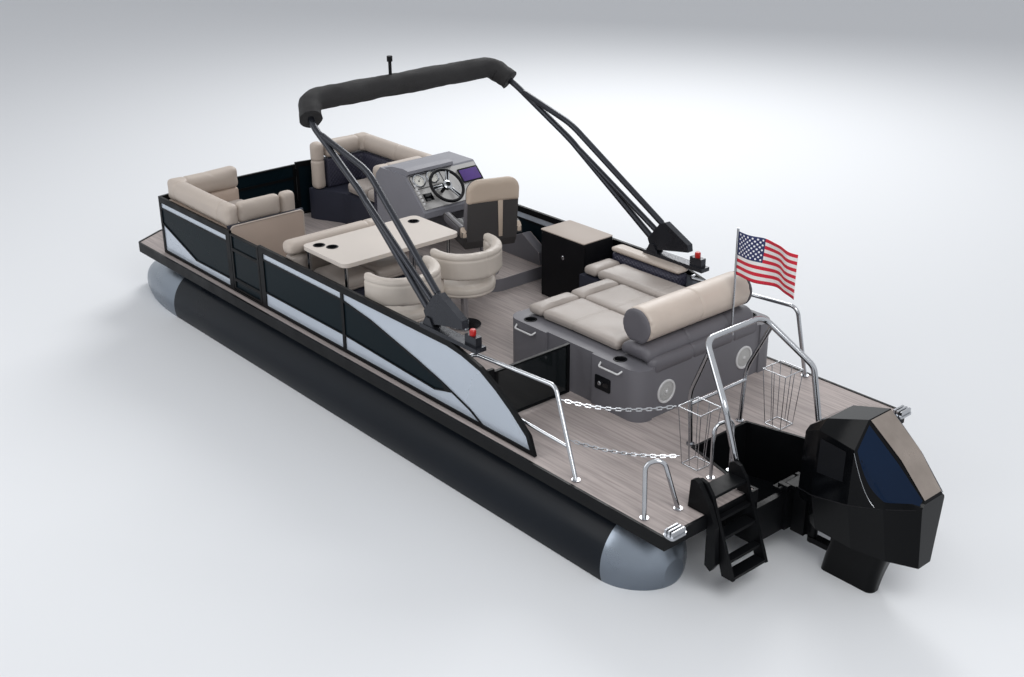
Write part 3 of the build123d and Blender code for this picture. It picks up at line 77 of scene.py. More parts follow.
def make_camera():
    """The camera at the photograph's place and angle."""
    ahead = Vector((
        math.cos(CAMERA_YAW) * math.cos(CAMERA_PITCH),
        math.sin(CAMERA_YAW) * math.cos(CAMERA_PITCH),
        -math.sin(CAMERA_PITCH),
    ))
    level = Vector((math.sin(CAMERA_YAW), -math.cos(CAMERA_YAW), 0))
    below = ahead.cross(level)
    right = math.cos(CAMERA_ROLL) * level + math.sin(CAMERA_ROLL) * below
    down = math.cos(CAMERA_ROLL) * below - math.sin(CAMERA_ROLL) * level
    lens = bpy.data.cameras.new("camera")
    lens.lens = CAMERA_LENS
    lens.sensor_width = 36
    lens.clip_end = 200
    camera = bpy.data.objects.new("camera", lens)
    bpy.context.scene.collection.objects.link(camera)
    turn = Matrix((right, -down, -ahead)).transposed()
    camera.matrix_world = Matrix.Translation(CAMERA_PLACE) @ turn.to_4x4()
    bpy.context.scene.camera = camera


# Shader groups: effects that several finishes share

def add_node(tree, kind, **settings):
    """A node of one kind with its settings."""
    node = tree.nodes.new(kind)
    for name, value in settings.items():
        setattr(node, name, value)
    return node


def make_group(name, inputs, outputs):
    """An empty shader group with named sockets."""
    group = bpy.data.node_groups.new(name, "ShaderNodeTree")
    for label, kind, value in inputs:
        socket = group.interface.new_socket(label, in_out="INPUT", socket_type=kind)
        socket.default_value = value
    for label, kind in outputs:
        group.interface.new_socket(label, in_out="OUTPUT", socket_type=kind)
    return group, group.nodes.new("NodeGroupInput"), group.nodes.new("NodeGroupOutput")


def scaled_place(tree, stretch):
    """Object coordinates stretched by a factor along each axis."""
    place = add_node(tree, "ShaderNodeTexCoord")
    mapping = add_node(tree, "ShaderNodeMapping")
    mapping.inputs["Scale"].default_value = stretch
    tree.links.new(place.outputs["Object"], mapping.inputs["Vector"])
    return mapping.outputs["Vector"]


def reckon(tree, operation, *terms, kind="ShaderNodeMath"):
    """A sum in a shader tree, of sockets or plain values, as its node."""
    node = add_node(tree, kind, operation=operation)
    for socket, term in zip(node.inputs, terms):
        if isinstance(term, bpy.types.NodeSocket):
            tree.links.new(term, socket)
        else:
            socket.default_value = term
    return node


def painted(tree, ground, colour, mask):
    """A colour laid over the ground where the mask is 1."""
    node = add_node(tree, "ShaderNodeMix", data_type="RGBA")
    node.inputs[7].default_value = colour
    tree.links.new(mask, node.inputs[0])
    tree.links.new(ground, node.inputs[6])
    return node.outputs[2]


def mottle_group():
    """Uneven colour: a tone that drifts over the surface, and its mask."""
    group, inside, outside = make_group(
        "mottle",
        [
            ("Colour", "NodeSocketColor", (0.5, 0.5, 0.5, 1)),
            ("Scale", "NodeSocketFloat", 4.0),
            ("Spread", "NodeSocketFloat", 0.1),
        ],
        [("Colour", "NodeSocketColor"), ("Mask", "NodeSocketFloat")],
    )
    cloud = add_node(group, "ShaderNodeTexNoise")
    cloud.inputs["Detail"].default_value = 5
    group.links.new(scaled_place(group, (1, 1, 1)), cloud.inputs["Vector"])
    group.links.new(inside.outputs["Scale"], cloud.inputs["Scale"])
    centred = reckon(group, "SUBTRACT", cloud.outputs["Fac"], 0.5)
    swing = reckon(group, "MULTIPLY", centred.outputs[0], inside.outputs["Spread"])
    level = reckon(group, "MULTIPLY_ADD", swing.outputs[0], 4.0, 1.0)
    shaded = add_node(group, "ShaderNodeMix", data_type="RGBA", blend_type="MULTIPLY")
    shaded.inputs[0].default_value = 1.0
    group.links.new(inside.outputs["Colour"], shaded.inputs[6])
    group.links.new(level.outputs[0], shaded.inputs[7])
    group.links.new(shaded.outputs[2], outside.inputs["Colour"])
    group.links.new(cloud.outputs["Fac"], outside.inputs["Mask"])
    return group


def pebble_group():
    """The pebbled grain of vinyl and moulded plastic, as a height."""
    group, inside, outside = make_group(
        "pebble", [("Scale", "NodeSocketFloat", 300.0)], [("Height", "NodeSocketFloat")]
    )
    cells = add_node(group, "ShaderNodeTexVoronoi", feature="SMOOTH_F1")
    group.links.new(scaled_place(group, (1, 1, 1)), cells.inputs["Vector"])
    group.links.new(inside.outputs["Scale"], cells.inputs["Scale"])
    group.links.new(cells.outputs["Distance"], outside.inputs["Height"])
    return group


def streak_group():
    """Fine streaks that run fore and aft, as a mask."""
    group, inside, outside = make_group(
        "streak", [("Scale", "NodeSocketFloat", 20.0)], [("Mask", "NodeSocketFloat")]
    )
    lines = add_node(group, "ShaderNodeTexNoise")
    lines.inputs["Detail"].default_value = 4
    group.links.new(scaled_place(group, (0.04, 1, 1)), lines.inputs["Vector"])
    group.links.new(inside.outputs["Scale"], lines.inputs["Scale"])
    group.links.new(lines.outputs["Fac"], outside.inputs["Mask"])
    return group


def weave_group():
    """A plain weave: threads that cross at right angles, as a height and a mask of one set."""
    group, inside, outside = make_group(
        "weave",
        [("Scale", "NodeSocketFloat", 60.0)],
        [("Height", "NodeSocketFloat"), ("Mask", "NodeSocketFloat")],
    )
    threads = []
    for direction in ("X", "Y"):
        wave = add_node(group, "ShaderNodeTexWave", wave_type="BANDS", bands_direction=direction)
        wave.inputs["Distortion"].default_value = 0.6
        wave.inputs["Detail Scale"].default_value = 3
        group.links.new(scaled_place(group, (1, 1, 1)), wave.inputs["Vector"])
        group.links.new(inside.outputs["Scale"], wave.inputs["Scale"])
        threads.append(wave.outputs["Fac"])
    group.links.new(reckon(group, "MULTIPLY", *threads).outputs[0], outside.inputs["Height"])
    group.links.new(threads[1], outside.inputs["Mask"])
    return group


def quilt_group():
    """Diamond quilting on an upright cushion face, as a height."""
    group, inside, outside = make_group(
        "quilt", [("Pitch", "NodeSocketFloat", 0.05)], [("Height", "NodeSocketFloat")]
    )
    parts = add_node(group, "ShaderNodeSeparateXYZ")
    group.links.new(scaled_place(group, (1, 1, 1)), parts.inputs[0])
    along = reckon(group, "ADD", parts.outputs["X"], parts.outputs["Y"]).outputs[0]
    ridges = []
    for slope in ("ADD", "SUBTRACT"):
        slant = reckon(group, slope, along, parts.outputs["Z"]).outputs[0]
        turns = reckon(group, "DIVIDE", slant, inside.outputs["Pitch"]).outputs[0]
        ridges.append(reckon(group, "PINGPONG", turns, 0.5).outputs[0])
    low = reckon(group, "MINIMUM", *ridges).outputs[0]
    group.links.new(reckon(group, "POWER", low, 0.5).outputs[0], outside.inputs["Height"])
    return group


MOTTLE = mottle_group()
PEBBLE = pebble_group()
STREAK = streak_group()
WEAVE = weave_group()
QUILT = quilt_group()


# Finishes

def place_group(tree, group, **values):
    """One of the shared groups in a material, with its values."""
    node = add_node(tree, "ShaderNodeGroup", node_tree=group)
    for name, value in values.items():
        node.inputs[name.capitalize()].default_value = value
    return node


def finish(name, colour, roughness, metallic=0.0, mottle=(3.0, 0.06), coat=0.0, relief=None, gleam=0.5):
    """A principled material: drifting colour and roughness, and a relief from a shared group.

    roughness is its least and greatest value, mottle a scale and a spread, relief a group with its
    scale and its depth in metres, and gleam the strength of the reflection.
    """
    material = bpy.data.materials.new(name)
    material.use_nodes = True
    tree = material.node_tree
    shader = tree.nodes["Principled BSDF"]
    shader.inputs["Metallic"].default_value = metallic
    shader.inputs["Coat Weight"].default_value = coat
    shader.inputs["Specular IOR Level"].default_value = gleam
    drift = place_group(tree, MOTTLE, colour=tone(*colour), scale=mottle[0], spread=mottle[1])
    tree.links.new(drift.outputs["Colour"], shader.inputs["Base Color"])
    worn = add_node(tree, "ShaderNodeMapRange")
    worn.inputs["From Min"].default_value = 0.3
    worn.inputs["From Max"].default_value = 0.7
    worn.inputs["To Min"].default_value, worn.inputs["To Max"].default_value = roughness
    tree.links.new(drift.outputs["Mask"], worn.inputs["Value"])
    tree.links.new(worn.outputs["Result"], shader.inputs["Roughness"])
    if relief:
        group, scale, depth = relief
        pattern = add_node(tree, "ShaderNodeGroup", node_tree=group)
        pattern.inputs[0].default_value = scale
        bump = add_node(tree, "ShaderNodeBump")
        bump.inputs["Distance"].default_value = depth
        tree.links.new(pattern.outputs[0], bump.inputs["Height"])
        tree.links.new(bump.outputs["Normal"], shader.inputs["Normal"])
    return material


def woven_floor():
    """Woven vinyl flooring: taupe threads with a grain that runs fore and aft."""
    material = finish("woven_floor", (182, 171, 167), (0.6, 0.8), mottle=(1.5, 0.05),
                      relief=(WEAVE, 55, 0.0012))
    tree = material.node_tree
    shader = tree.nodes["Principled BSDF"]
    ground = shader.inputs["Base Color"].links[0].from_socket
    for scale, dark, share in ((60, (136, 127, 124), 0.6), (9, (150, 141, 138), 0.4)):
        streaks = place_group(tree, STREAK, scale=scale)
        thread = add_node(tree, "ShaderNodeMapRange")
        thread.inputs["From Min"].default_value = 0.42
        thread.inputs["From Max"].default_value = 0.62
        thread.inputs["To Max"].default_value = share
        tree.links.new(streaks.outputs["Mask"], thread.inputs["Value"])
        ground = painted(tree, ground, tone(*dark), thread.outputs["Result"])
    tree.links.new(ground, shader.inputs["Base Color"])
    return material


def tinted_glass():
    """Dark tinted glass that still lets some light through."""
    material = finish("tinted_glass", (44, 50, 52), (0.04, 0.1), mottle=(2, 0.05))
    shader = material.node_tree.nodes["Principled BSDF"]
    shader.inputs["Transmission Weight"].default_value = 0.7
    shader.inputs["IOR"].default_value = 1.45
    return material


# Each finish: colour, roughness, metallic, mottle, coat, relief and, where it isn't 0.5, gleam
FINISH_TABLE = (
    ("black_hull", (17, 22, 29), (0.26, 0.40), 0.0, (1.2, 0.14), 0.0, (STREAK, 30, 0.0006), 0.14),
    ("bare_aluminium", (128, 136, 146), (0.25, 0.42), 1.0, (5, 0.05), 0.0, (STREAK, 90, 0.0004)),
    ("black_frame", (11, 12, 14), (0.34, 0.50), 0.0, (6, 0.10), 0.0, (PEBBLE, 400, 0.0002), 0.12),
    ("silver_panel", (190, 199, 210), (0.25, 0.34), 0.35, (1.0, 0.03), 0.5, (STREAK, 12, 0.0003)),
    ("charcoal_panel", (11, 24, 30), (0.22, 0.34), 0.0, (1.0, 0.12), 0.0, (STREAK, 12, 0.0003), 0.06),
    ("grey_shell", (104, 103, 108), (0.5, 0.64), 0.0, (4, 0.05), 0.0, (PEBBLE, 260, 0.0006)),
    ("upholstery", (184, 172, 161), (0.42, 0.55), 0.0, (6, 0.035), 0.0, (PEBBLE, 420, 0.0004)),
    # Seat cushions: the same vinyl as the upholstery, made darker by painted shade
    ("seat_vinyl", (163, 154, 147), (0.42, 0.55), 0.0, (6, 0.04), 0.0, (PEBBLE, 420, 0.0004)),
    # The lounge roll: the same vinyl as the upholstery, made lighter by painted light
    ("roll_vinyl", (196, 183, 171), (0.40, 0.52), 0.0, (6, 0.04), 0.0, (PEBBLE, 420, 0.0004)),
    ("pale_vinyl", (196, 187, 177), (0.42, 0.55), 0.0, (6, 0.035), 0.0, (PEBBLE, 420, 0.0004)),
    ("panel_vinyl", (188, 170, 156), (0.45, 0.6), 0.0, (4, 0.04), 0.0, (PEBBLE, 380, 0.0004)),
    ("charcoal_vinyl", (92, 90, 95), (0.42, 0.55), 0.0, (5, 0.05), 0.0, (PEBBLE, 380, 0.0004)),
    ("black_vinyl", (34, 34, 38), (0.42, 0.55), 0.0, (5, 0.08), 0.0, (PEBBLE, 380, 0.0004)),
    ("band_vinyl", (186, 170, 154), (0.42, 0.55), 0.0, (5, 0.05), 0.0, (PEBBLE, 400, 0.0004)),
    ("bronze_plate", (150, 140, 133), (0.14, 0.30), 1.0, (7, 0.14), 0.0, (STREAK, 60, 0.0002)),
    ("blue_black", (9, 26, 48), (0.05, 0.10), 0.0, (2, 0.16), 0.0, (PEBBLE, 900, 0.00002), 0.12),
    ("satin_black", (18, 19, 22), (0.34, 0.46), 0.0, (6, 0.08), 0.0, (PEBBLE, 500, 0.0001), 0.12),
    ("white_trim", (206, 206, 206), (0.26, 0.36), 0.0, (6, 0.04), 0.1, (PEBBLE, 400, 0.0001)),
    ("white_grille", (190, 190, 188), (0.4, 0.5), 0.0, (6, 0.05), 0.0, (WEAVE, 420, 0.0015)),
    ("gauge_white", (222, 220, 212), (0.3, 0.4), 0.0, (6, 0.03), 0.0, (PEBBLE, 600, 0.0001)),
    ("dark_glass", (10, 11, 14), (0.08, 0.14), 0.0, (3, 0.08), 0.0),
    ("screen_purple", (74, 42, 122), (0.14, 0.22), 0.0, (9, 0.16), 0.0),
    ("shell_charcoal", (64, 62, 62), (0.5, 0.62), 0.0, (5, 0.06), 0.0, (PEBBLE, 260, 0.0006), 0.3),
    ("console_grey", (128, 128, 135), (0.48, 0.6), 0.0, (4, 0.05), 0.0, (PEBBLE, 260, 0.0006)),
    # Cabinet top: the pale top's finish made darker, painted shade that holds down the lamps' highlight
    ("counter_top", (172, 160, 150), (0.5, 0.62), 0.0, (3, 0.03), 0.0, (PEBBLE, 180, 0.0001), 0.2),
    ("navy_base", (44, 46, 58), (0.46, 0.6), 0.0, (4, 0.08), 0.0, (PEBBLE, 300, 0.0004), 0.3),
    ("red_knob", (176, 26, 22), (0.3, 0.42), 0.0, (8, 0.05), 0.0, (PEBBLE, 300, 0.0002)),
    ("dark_upholstery", (46, 46, 62), (0.42, 0.55), 0.0, (6, 0.06), 0.0, (QUILT, 0.045, 0.008)),
    ("pale_top", (202, 193, 184), (0.40, 0.52), 0.0, (3, 0.03), 0.0, (PEBBLE, 180, 0.0001)),
    ("stainless", (176, 178, 182), (0.10, 0.22), 1.0, (12, 0.06), 0.0, (STREAK, 140, 0.0001)),
    ("silver_dash", (186, 184, 182), (0.26, 0.34), 0.6, (8, 0.04), 0.2, (STREAK, 120, 0.0001)),
    ("black_plastic", (15, 15, 18), (0.4, 0.55), 0.0, (8, 0.10), 0.0, (PEBBLE, 350, 0.0004), 0.14),
    ("graphite_tube", (44, 46, 52), (0.22, 0.34), 0.6, (7, 0.10), 0.0, (PEBBLE, 500, 0.0001)),
    ("canvas", (36, 35, 36), (0.75, 0.9), 0.0, (5, 0.12), 0.0, (WEAVE, 120, 0.0012)),
    ("gloss_black", (7, 8, 10), (0.08, 0.16), 0.0, (2, 0.12), 0.0, (PEBBLE, 900, 0.00002), 0.12),
    ("engine_block", (60, 60, 62), (0.5, 0.7), 0.6),
    ("propeller_steel", (196, 196, 200), (0.12, 0.24), 1.0, (10, 0.04), 0.0, (STREAK, 80, 0.0002)),
)
FINISHES = {name: finish(name, *values) for name, *values in FINISH_TABLE}
FINISHES["woven_floor"] = woven_floor()
FINISHES["tinted_glass"] = tinted_glass()

# The slot of each finish that isn't named after its own
SLOTS = {
    "seat_vinyl": "upholstery", "roll_vinyl": "upholstery", "pale_vinyl": "upholstery",
    "panel_vinyl": "upholstery", "black_vinyl": "upholstery", "band_vinyl": "upholstery",
    "charcoal_vinyl": "dark_upholstery", "screen_purple": "dark_upholstery",
    "bronze_plate": "graphite_tube", "blue_black": "gloss_black", "dark_glass": "tinted_glass",
    "satin_black": "black_plastic", "red_knob": "black_plastic",
    "white_trim": "pale_top", "white_grille": "pale_top", "gauge_white": "pale_top",
    "counter_top": "pale_top",
}

# Nodes whose look isn't their slot's
NODE_FINISHES = {"captain_chair_frame": "shell_charcoal", "seat_bases": "navy_base",
                 "helm_console": "console_grey"}


def dress_nodes():
    """Every CAD node gets its own finish, or its slot's."""
    for part in frame["record"]["subparts"]:
        mesh = frame["nodes"][part["node"]].data
        look = NODE_FINISHES.get(part["node"], part["material_slot"])
        mesh.materials.clear()
        mesh.materials.append(FINISHES.get(look, FINISHES["canvas"]))


# Padded pieces

SWELL_FRAMES = 20
CUSHIONS = []


def ring_turn(angle, station, offset):
    """A turn in plan about an upright through a station and an offset."""
    middle = at(station, offset, 0)
    swing = Matrix.Rotation(math.radians(angle), 4, "Z")
    return Matrix.Translation(middle) @ swing @ Matrix.Translation(-middle)


def sharp_edges(shape, least=40):
    """The edges of a mesh where its faces meet at more than an angle in degrees."""
    return [e for e in shape.edges if e.is_manifold and e.calc_face_angle() > math.radians(least)]


def round_over(shape, edges, radius, segments=4):
    """Edges rounded over."""
    bmesh.ops.bevel(
        shape, geom=edges, offset=radius, segments=segments, profile=0.5,
        affect="EDGES", material=-1, clamp_overlap=True,
    )


def risen(geometry):
    """The points among what an extrusion made."""
    return [v for v in geometry if isinstance(v, bmesh.types.BMVert)]


def pushed_out(points, direction):
    """A closed solid: an outline pushed along a direction."""
    shape = bmesh.new()
    outline = shape.faces.new([shape.verts.new(point) for point in points])
    far = bmesh.ops.extrude_face_region(shape, geom=[outline])["geom"]
    bmesh.ops.translate(shape, verts=risen(far), vec=direction)
    bmesh.ops.recalc_face_normals(shape, faces=shape.faces)
    return shape


def oblong(stations, offsets):
    """The corners of a rectangle in plan, or of any two pairs of values."""
    (aft, fore), (near, far) = stations, offsets
    return [(aft, near), (fore, near), (fore, far), (aft, far)]


def foam_plan(outline, heights, corner, ease):
    """Foam cut to an outline in plan: its upright corners and then every edge rounded."""
    low, high = heights
    shape = pushed_out([at(s, y, low) for s, y in outline], Vector((0, 0, high - low)))
    upright = [e for e in sharp_edges(shape, 20) if abs((e.verts[0].co - e.verts[1].co).z) > 0.01]
    round_over(shape, upright, corner)
    round_over(shape, sharp_edges(shape), ease)
    return shape


def foam_side(outline, offsets, ease):
    """Foam cut to an outline of station and height and as long as its offsets are apart."""
    near, far = offsets
    shape = pushed_out([at(s, near, z) for s, z in outline], Vector((0, far - near, 0)))
    round_over(shape, sharp_edges(shape), ease)
    return shape


def foam_across(outline, stations, ease):
    """Foam cut to an outline of offset and height and as long as its stations are apart."""
    aft, fore = stations
    shape = pushed_out([at(aft, y, z) for y, z in outline], Vector((fore - aft, 0, 0)))
    round_over(shape, sharp_edges(shape), ease)
    return shape


def foam_ring(middle, radii, heights, start, sweep, ease):
    """Foam wrapped round an upright: a section spun through an angle, or a disc if the inner radius is 0."""
    (station, offset), (inner, outer), (low, high) = middle, radii, heights
    shape = bmesh.new()
    centre = at(station, offset, 0)
    if inner:
        ahead = Matrix.Rotation(math.radians(start), 4, "Z") @ Vector((1, 0, 0))
        corners = [centre + ahead * r + Vector((0, 0, z))
                   for r, z in ((inner, low), (outer, low), (outer, high), (inner, high))]
        face = shape.faces.new([shape.verts.new(corner) for corner in corners])
        bmesh.ops.spin(
            shape, geom=[face, *face.edges, *face.verts], cent=centre, axis=(0, 0, 1),
            angle=math.radians(sweep), steps=28, use_merge=False, use_duplicate=False,
        )
    else:
        foot = Matrix.Translation(centre + Vector((0, 0, low)))
        bmesh.ops.create_circle(shape, cap_ends=True, segments=40, radius=outer, matrix=foot)
        far = bmesh.ops.extrude_face_region(shape, geom=shape.faces[:])["geom"]
        bmesh.ops.translate(shape, verts=risen(far), vec=(0, 0, high - low))
    bmesh.ops.recalc_face_normals(shape, faces=shape.faces)
    round_over(shape, sharp_edges(shape), ease)
    return shape


def cushion(name, node, body, look, shape, voxel=0.018, swell=0.012, seams=(), turn=None, slot=None):
    """One padded piece, kept until all of them are swollen together.

    swell is how far a point may move, seams are (point, direction, half width, depth), and turn is
    applied last.
    """
    mesh = bpy.data.meshes.new(name)
    shape.to_mesh(mesh)
    shape.free()
    piece = bpy.data.objects.new(name, mesh)
    bpy.context.scene.collection.objects.link(piece)
    dense = piece.modifiers.new("dense", "REMESH")
    dense.mode = "VOXEL"
    dense.voxel_size = voxel
    set_still(piece)
    CUSHIONS.append((piece, node, body, look, swell, seams, turn, slot or SLOTS.get(look, look)))


def set_still(piece):
    """A piece's live modifiers made part of its mesh."""
    graph = bpy.context.evaluated_depsgraph_get()
    made = bpy.data.meshes.new_from_object(piece.evaluated_get(graph))
    piece.modifiers.clear()
    piece.data = made
    return made


def swell_cushions():
    """Every cushion is blown up a little by cloth pressure, with the distance a point may move capped."""
    starts = []
    for piece, *_ in CUSHIONS:
        starts.append([v.co.copy() for v in piece.data.vertices])
        cloth = piece.modifiers.new("cloth", "CLOTH")
        cloth.settings.quality = 4
        cloth.settings.use_pressure = True
        cloth.settings.uniform_pressure_force = 4
        cloth.settings.tension_stiffness = 12
        cloth.settings.compression_stiffness = 12
        cloth.settings.bending_stiffness = 0.4
        cloth.settings.effector_weights.gravity = 0
        cloth.point_cache.frame_start = 1
        cloth.point_cache.frame_end = SWELL_FRAMES
    for frame_number in range(1, SWELL_FRAMES + 1):
        bpy.context.scene.frame_set(frame_number)
    graph = bpy.context.evaluated_depsgraph_get()
    for (piece, _, _, _, swell, *_), start in zip(CUSHIONS, starts):
        swollen = bpy.data.meshes.new_from_object(piece.evaluated_get(graph))
        piece.modifiers.clear()
        piece.data = swollen
        low = [min(c[i] for c in start) for i in range(3)]
        high = [max(c[i] for c in start) for i in range(3)]
        for vertex, place in zip(swollen.vertices, start):
            shift = vertex.co - place
            if shift.length > swell:
                shift *= swell / shift.length
            vertex.co = place + shift
        fit_between(swollen, low, high)
    bpy.context.scene.frame_set(1)


def fit_between(mesh, low, high):
    """A mesh brought back inside the two corners that it was cut to."""
    for i in range(3):
        least = min(v.co[i] for v in mesh.vertices)
        most = max(v.co[i] for v in mesh.vertices)
        for vertex in mesh.vertices:
            share = (vertex.co[i] - least) / (most - least)
            vertex.co[i] = low[i] + share * (high[i] - low[i])


def sew(mesh, seams):
    """Seams pulled into a mesh: points near each seam's plane move in along their normals."""
    shape = bmesh.new()
    shape.from_mesh(mesh)
    shape.normal_update()
    shifts = {}
    for vertex in shape.verts:
        depth = 0
        for point, direction, half_width, deepest in seams:
            away = (vertex.co - point).dot(direction)
            depth += deepest * math.exp(-(away / half_width) ** 2)
        if depth > 0.0002:
            shifts[vertex] = -vertex.normal * depth
    for vertex, shift in shifts.items():
        vertex.co += shift
    shape.to_mesh(mesh)
    shape.free()


def finish_cushions():
    """Each cushion smoothed once more, sewn, turned to its place and given its finish."""
    swell_cushions()
    for piece, node, body, look, _, seams, turn, slot in CUSHIONS:
        smooth = piece.modifiers.new("smooth", "SUBSURF")
        smooth.levels = smooth.render_levels = 1
        fine = set_still(piece)
        sew(fine, seams)
        if turn:
            fine.transform(turn)
        fine.polygons.foreach_set("use_smooth", [True] * len(fine.polygons))
        fine.materials.clear()
        fine.materials.append(FINISHES[look])
        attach(piece, body)
        if node:
            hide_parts(node)


def seam_at(axis, value, half_width=0.010, depth=0.009):
    """A seam where a station, an offset or a height has a value."""
    point = at(*[value if axis == word else 0 for word in ("station", "offset", "height")])
    direction = Vector([1.0 if axis == word else 0.0 for word in ("station", "offset", "height")])
    return point, direction, half_width, depth


# Soft goods of each seat

# Half width and depth of two kinds of seam, then heights and rounding that several seats share
PIPING = (0.008, 0.006)
CREASE = (0.007, 0.005)
SEAT_FOOT, SEAT_TOP = 0.331, 0.462
SEAT_CUT = {"corner": 0.05, "ease": 0.032}
BOLSTER_CUT = {"corner": 0.045, "ease": 0.055}
WALL_CUT = {"corner": 0.02, "ease": 0.014}
SEAT_SEAM = seam_at("height", 0.372, *PIPING)


def make_bow_lounges():
    """Bow lounges: seat cushions, fat rolled bolsters on the walls and flat panels below them."""
    for name, outline in (
        ("bow_port_seat_aft", oblong((5.669, 6.128), (0.437, 1.038))),
        ("bow_port_seat_fore", oblong((6.134, 6.598), (0.437, 1.038))),
        ("bow_starboard_seat_aft", oblong((5.612, 5.972), (-1.038, -0.627))),
        ("bow_starboard_seat_fore", [(5.978, -1.038), (6.338, -1.038), (6.338, -0.640), (5.978, -0.627)]),
    ):
        cushion(name, "bow_seats", "hull", "seat_vinyl", foam_plan(outline, (SEAT_FOOT, SEAT_TOP), **SEAT_CUT),
                seams=[SEAT_SEAM])
    port_round = [(5.532, 1.048), (6.608, 1.048), (6.608, 0.434), (6.750, 0.434), (6.750, 1.185),
                  (5.532, 1.185)]
    starboard_round = [(5.462, -1.185), (6.750, -1.185), (6.750, -0.600), (6.606, -0.600), (6.606, -1.046),
                       (5.462, -1.046)]
    port_wall = [(5.542, 0.592), (5.542, 1.176), (6.740, 1.176), (6.740, 0.440), (6.614, 0.440),
                 (6.614, 1.052), (5.658, 1.052), (5.658, 0.592)]
    starboard_wall = [(5.470, -1.178), (6.742, -1.178), (6.742, -0.600), (6.612, -0.600), (6.612, -1.040),
                      (5.600, -1.040), (5.600, -0.462), (5.470, -0.462)]
    # Each side: one bolster round the side and the fore end, one across the aft end and an arm roll,
    # then the wall below. Starboard is taller and has its wall quilted.
    port = (
        ("bow_port_bolster", port_round, (0.555, 0.775),
         [seam_at("station", 6.55), seam_at("offset", 1.0), seam_at("station", 5.70)]),
        ("bow_port_cross_bolster", oblong((5.532, 5.664), (0.592, 1.042)), (0.568, 0.775), []),
        ("bow_port_arm_roll", oblong((5.532, 5.664), (0.432, 0.586)), (SEAT_FOOT, 0.772),
         [seam_at("height", 0.565)]),
    )
    starboard = (
        ("bow_starboard_bolster", starboard_round, (0.650, 0.835),
         [seam_at("station", 6.55), seam_at("offset", -1.0), seam_at("station", 6.0)]),
        ("bow_starboard_arm_roll", oblong((6.606, 6.750), (-0.594, -0.456)), (SEAT_FOOT, 0.832),
         [seam_at("height", 0.640)]),
        ("bow_starboard_aft_bolster", oblong((5.462, 5.606), (-1.040, -0.456)), (0.650, 0.835),
         [seam_at("offset", -0.60)]),
    )
    for bolsters, word, outline, top, look, swell in (
        (port, "port", port_wall, 0.566, "panel_vinyl", 0.004),
        (starboard, "starboard", starboard_wall, 0.648, "dark_upholstery", 0.005),
    ):
        for name, plan, heights, seams in bolsters:
            cushion(name, "bow_backs", "hull", "upholstery", foam_plan(plan, heights, **BOLSTER_CUT),
                    seams=seams, swell=0.016)
        cushion(f"bow_{word}_wall", "bow_backs", "hull", look,
                foam_plan(outline, (SEAT_FOOT, top), **WALL_CUT), swell=swell, voxel=0.022)


def make_dinette():
    """Dinette: two seat cushions, a back pad and the roll along its top."""
    for name, offsets in (
        ("dinette_seat_inboard", (0.232, 0.612)),
        ("dinette_seat_outboard", (0.618, 0.998)),
    ):
        cushion(name, "dinette_seat", "hull", "seat_vinyl",
                foam_plan(oblong((3.987, 4.438), offsets), (SEAT_FOOT, 0.460), **SEAT_CUT),
                seams=[SEAT_SEAM])
    cushion("dinette_back_pad", "dinette_back", "hull", "seat_vinyl",
            foam_plan(oblong((4.452, 4.592), (0.235, 1.175)), (SEAT_FOOT, 0.590), 0.03, 0.022),
            seams=[seam_at("offset", 0.615), seam_at("offset", 1.0)])
    cushion("dinette_back_roll", "dinette_back", "hull", "upholstery",
            foam_plan(oblong((4.445, 4.600), (0.226, 1.185)), (0.585, 0.722), 0.05, 0.052),
            swell=0.014, seams=[seam_at("offset", 0.360)])


# Aft lounge: its base's top and the seams that run between its pads
LOUNGE_TOP = 0.411
LOUNGE_SEAMS = [seam_at("offset", -0.235), seam_at("offset", -0.688)]


def make_chaise():
    """Aft lounge: three long pads, each with a foot bolster, and the dark ledge behind them."""
    for name, node, offsets, fore in (
        ("chaise_port", "chaise_pads", (-0.236, 0.203), 2.528),
        ("chaise_middle", "chaise_pads", (-0.688, -0.246), 2.528),
        ("side_seat_pad", "side_seat", (-1.033, -0.712), 2.858),
    ):
        foot = fore - 0.165
        cushion(name + "_foot", node, "hull", "seat_vinyl",
                foam_plan(oblong((foot, fore), offsets), (LOUNGE_TOP, 0.506), 0.04, 0.036))
        cushion(name, node, "hull", "seat_vinyl",
                foam_plan(oblong((1.523, foot - 0.005), offsets), (LOUNGE_TOP, 0.500), 0.03, 0.026),
                seams=[seam_at("station", 2.02, 0.009, 0.006), seam_at("height", 0.440, 0.007, 0.004)])
    ledge = [(1.198, 0.412), (1.500, 0.412), (1.500, 0.500), (1.380, 0.556), (1.262, 0.558), (1.198, 0.500)]
    cushion("chaise_ledge", "chaise_back", "hull", "charcoal_vinyl", foam_side(ledge, (-0.988, 0.213), 0.032),
            seams=LOUNGE_SEAMS, voxel=0.020)


def make_side_back():
    """Side lounge back: a quilted panel under a plain band."""
    for name, look, plan, heights, ease in (
        ("quilt", "dark_upholstery", oblong((2.064, 2.856), (-1.182, -1.044)), (0.412, 0.540), 0.018),
        ("band", "upholstery", oblong((2.060, 2.860), (-1.185, -1.040)), (0.540, 0.590), 0.022),
    ):
        cushion(f"side_back_{name}", "side_back", "hull", look, foam_plan(plan, heights, 0.03, ease),
                swell=0.006)


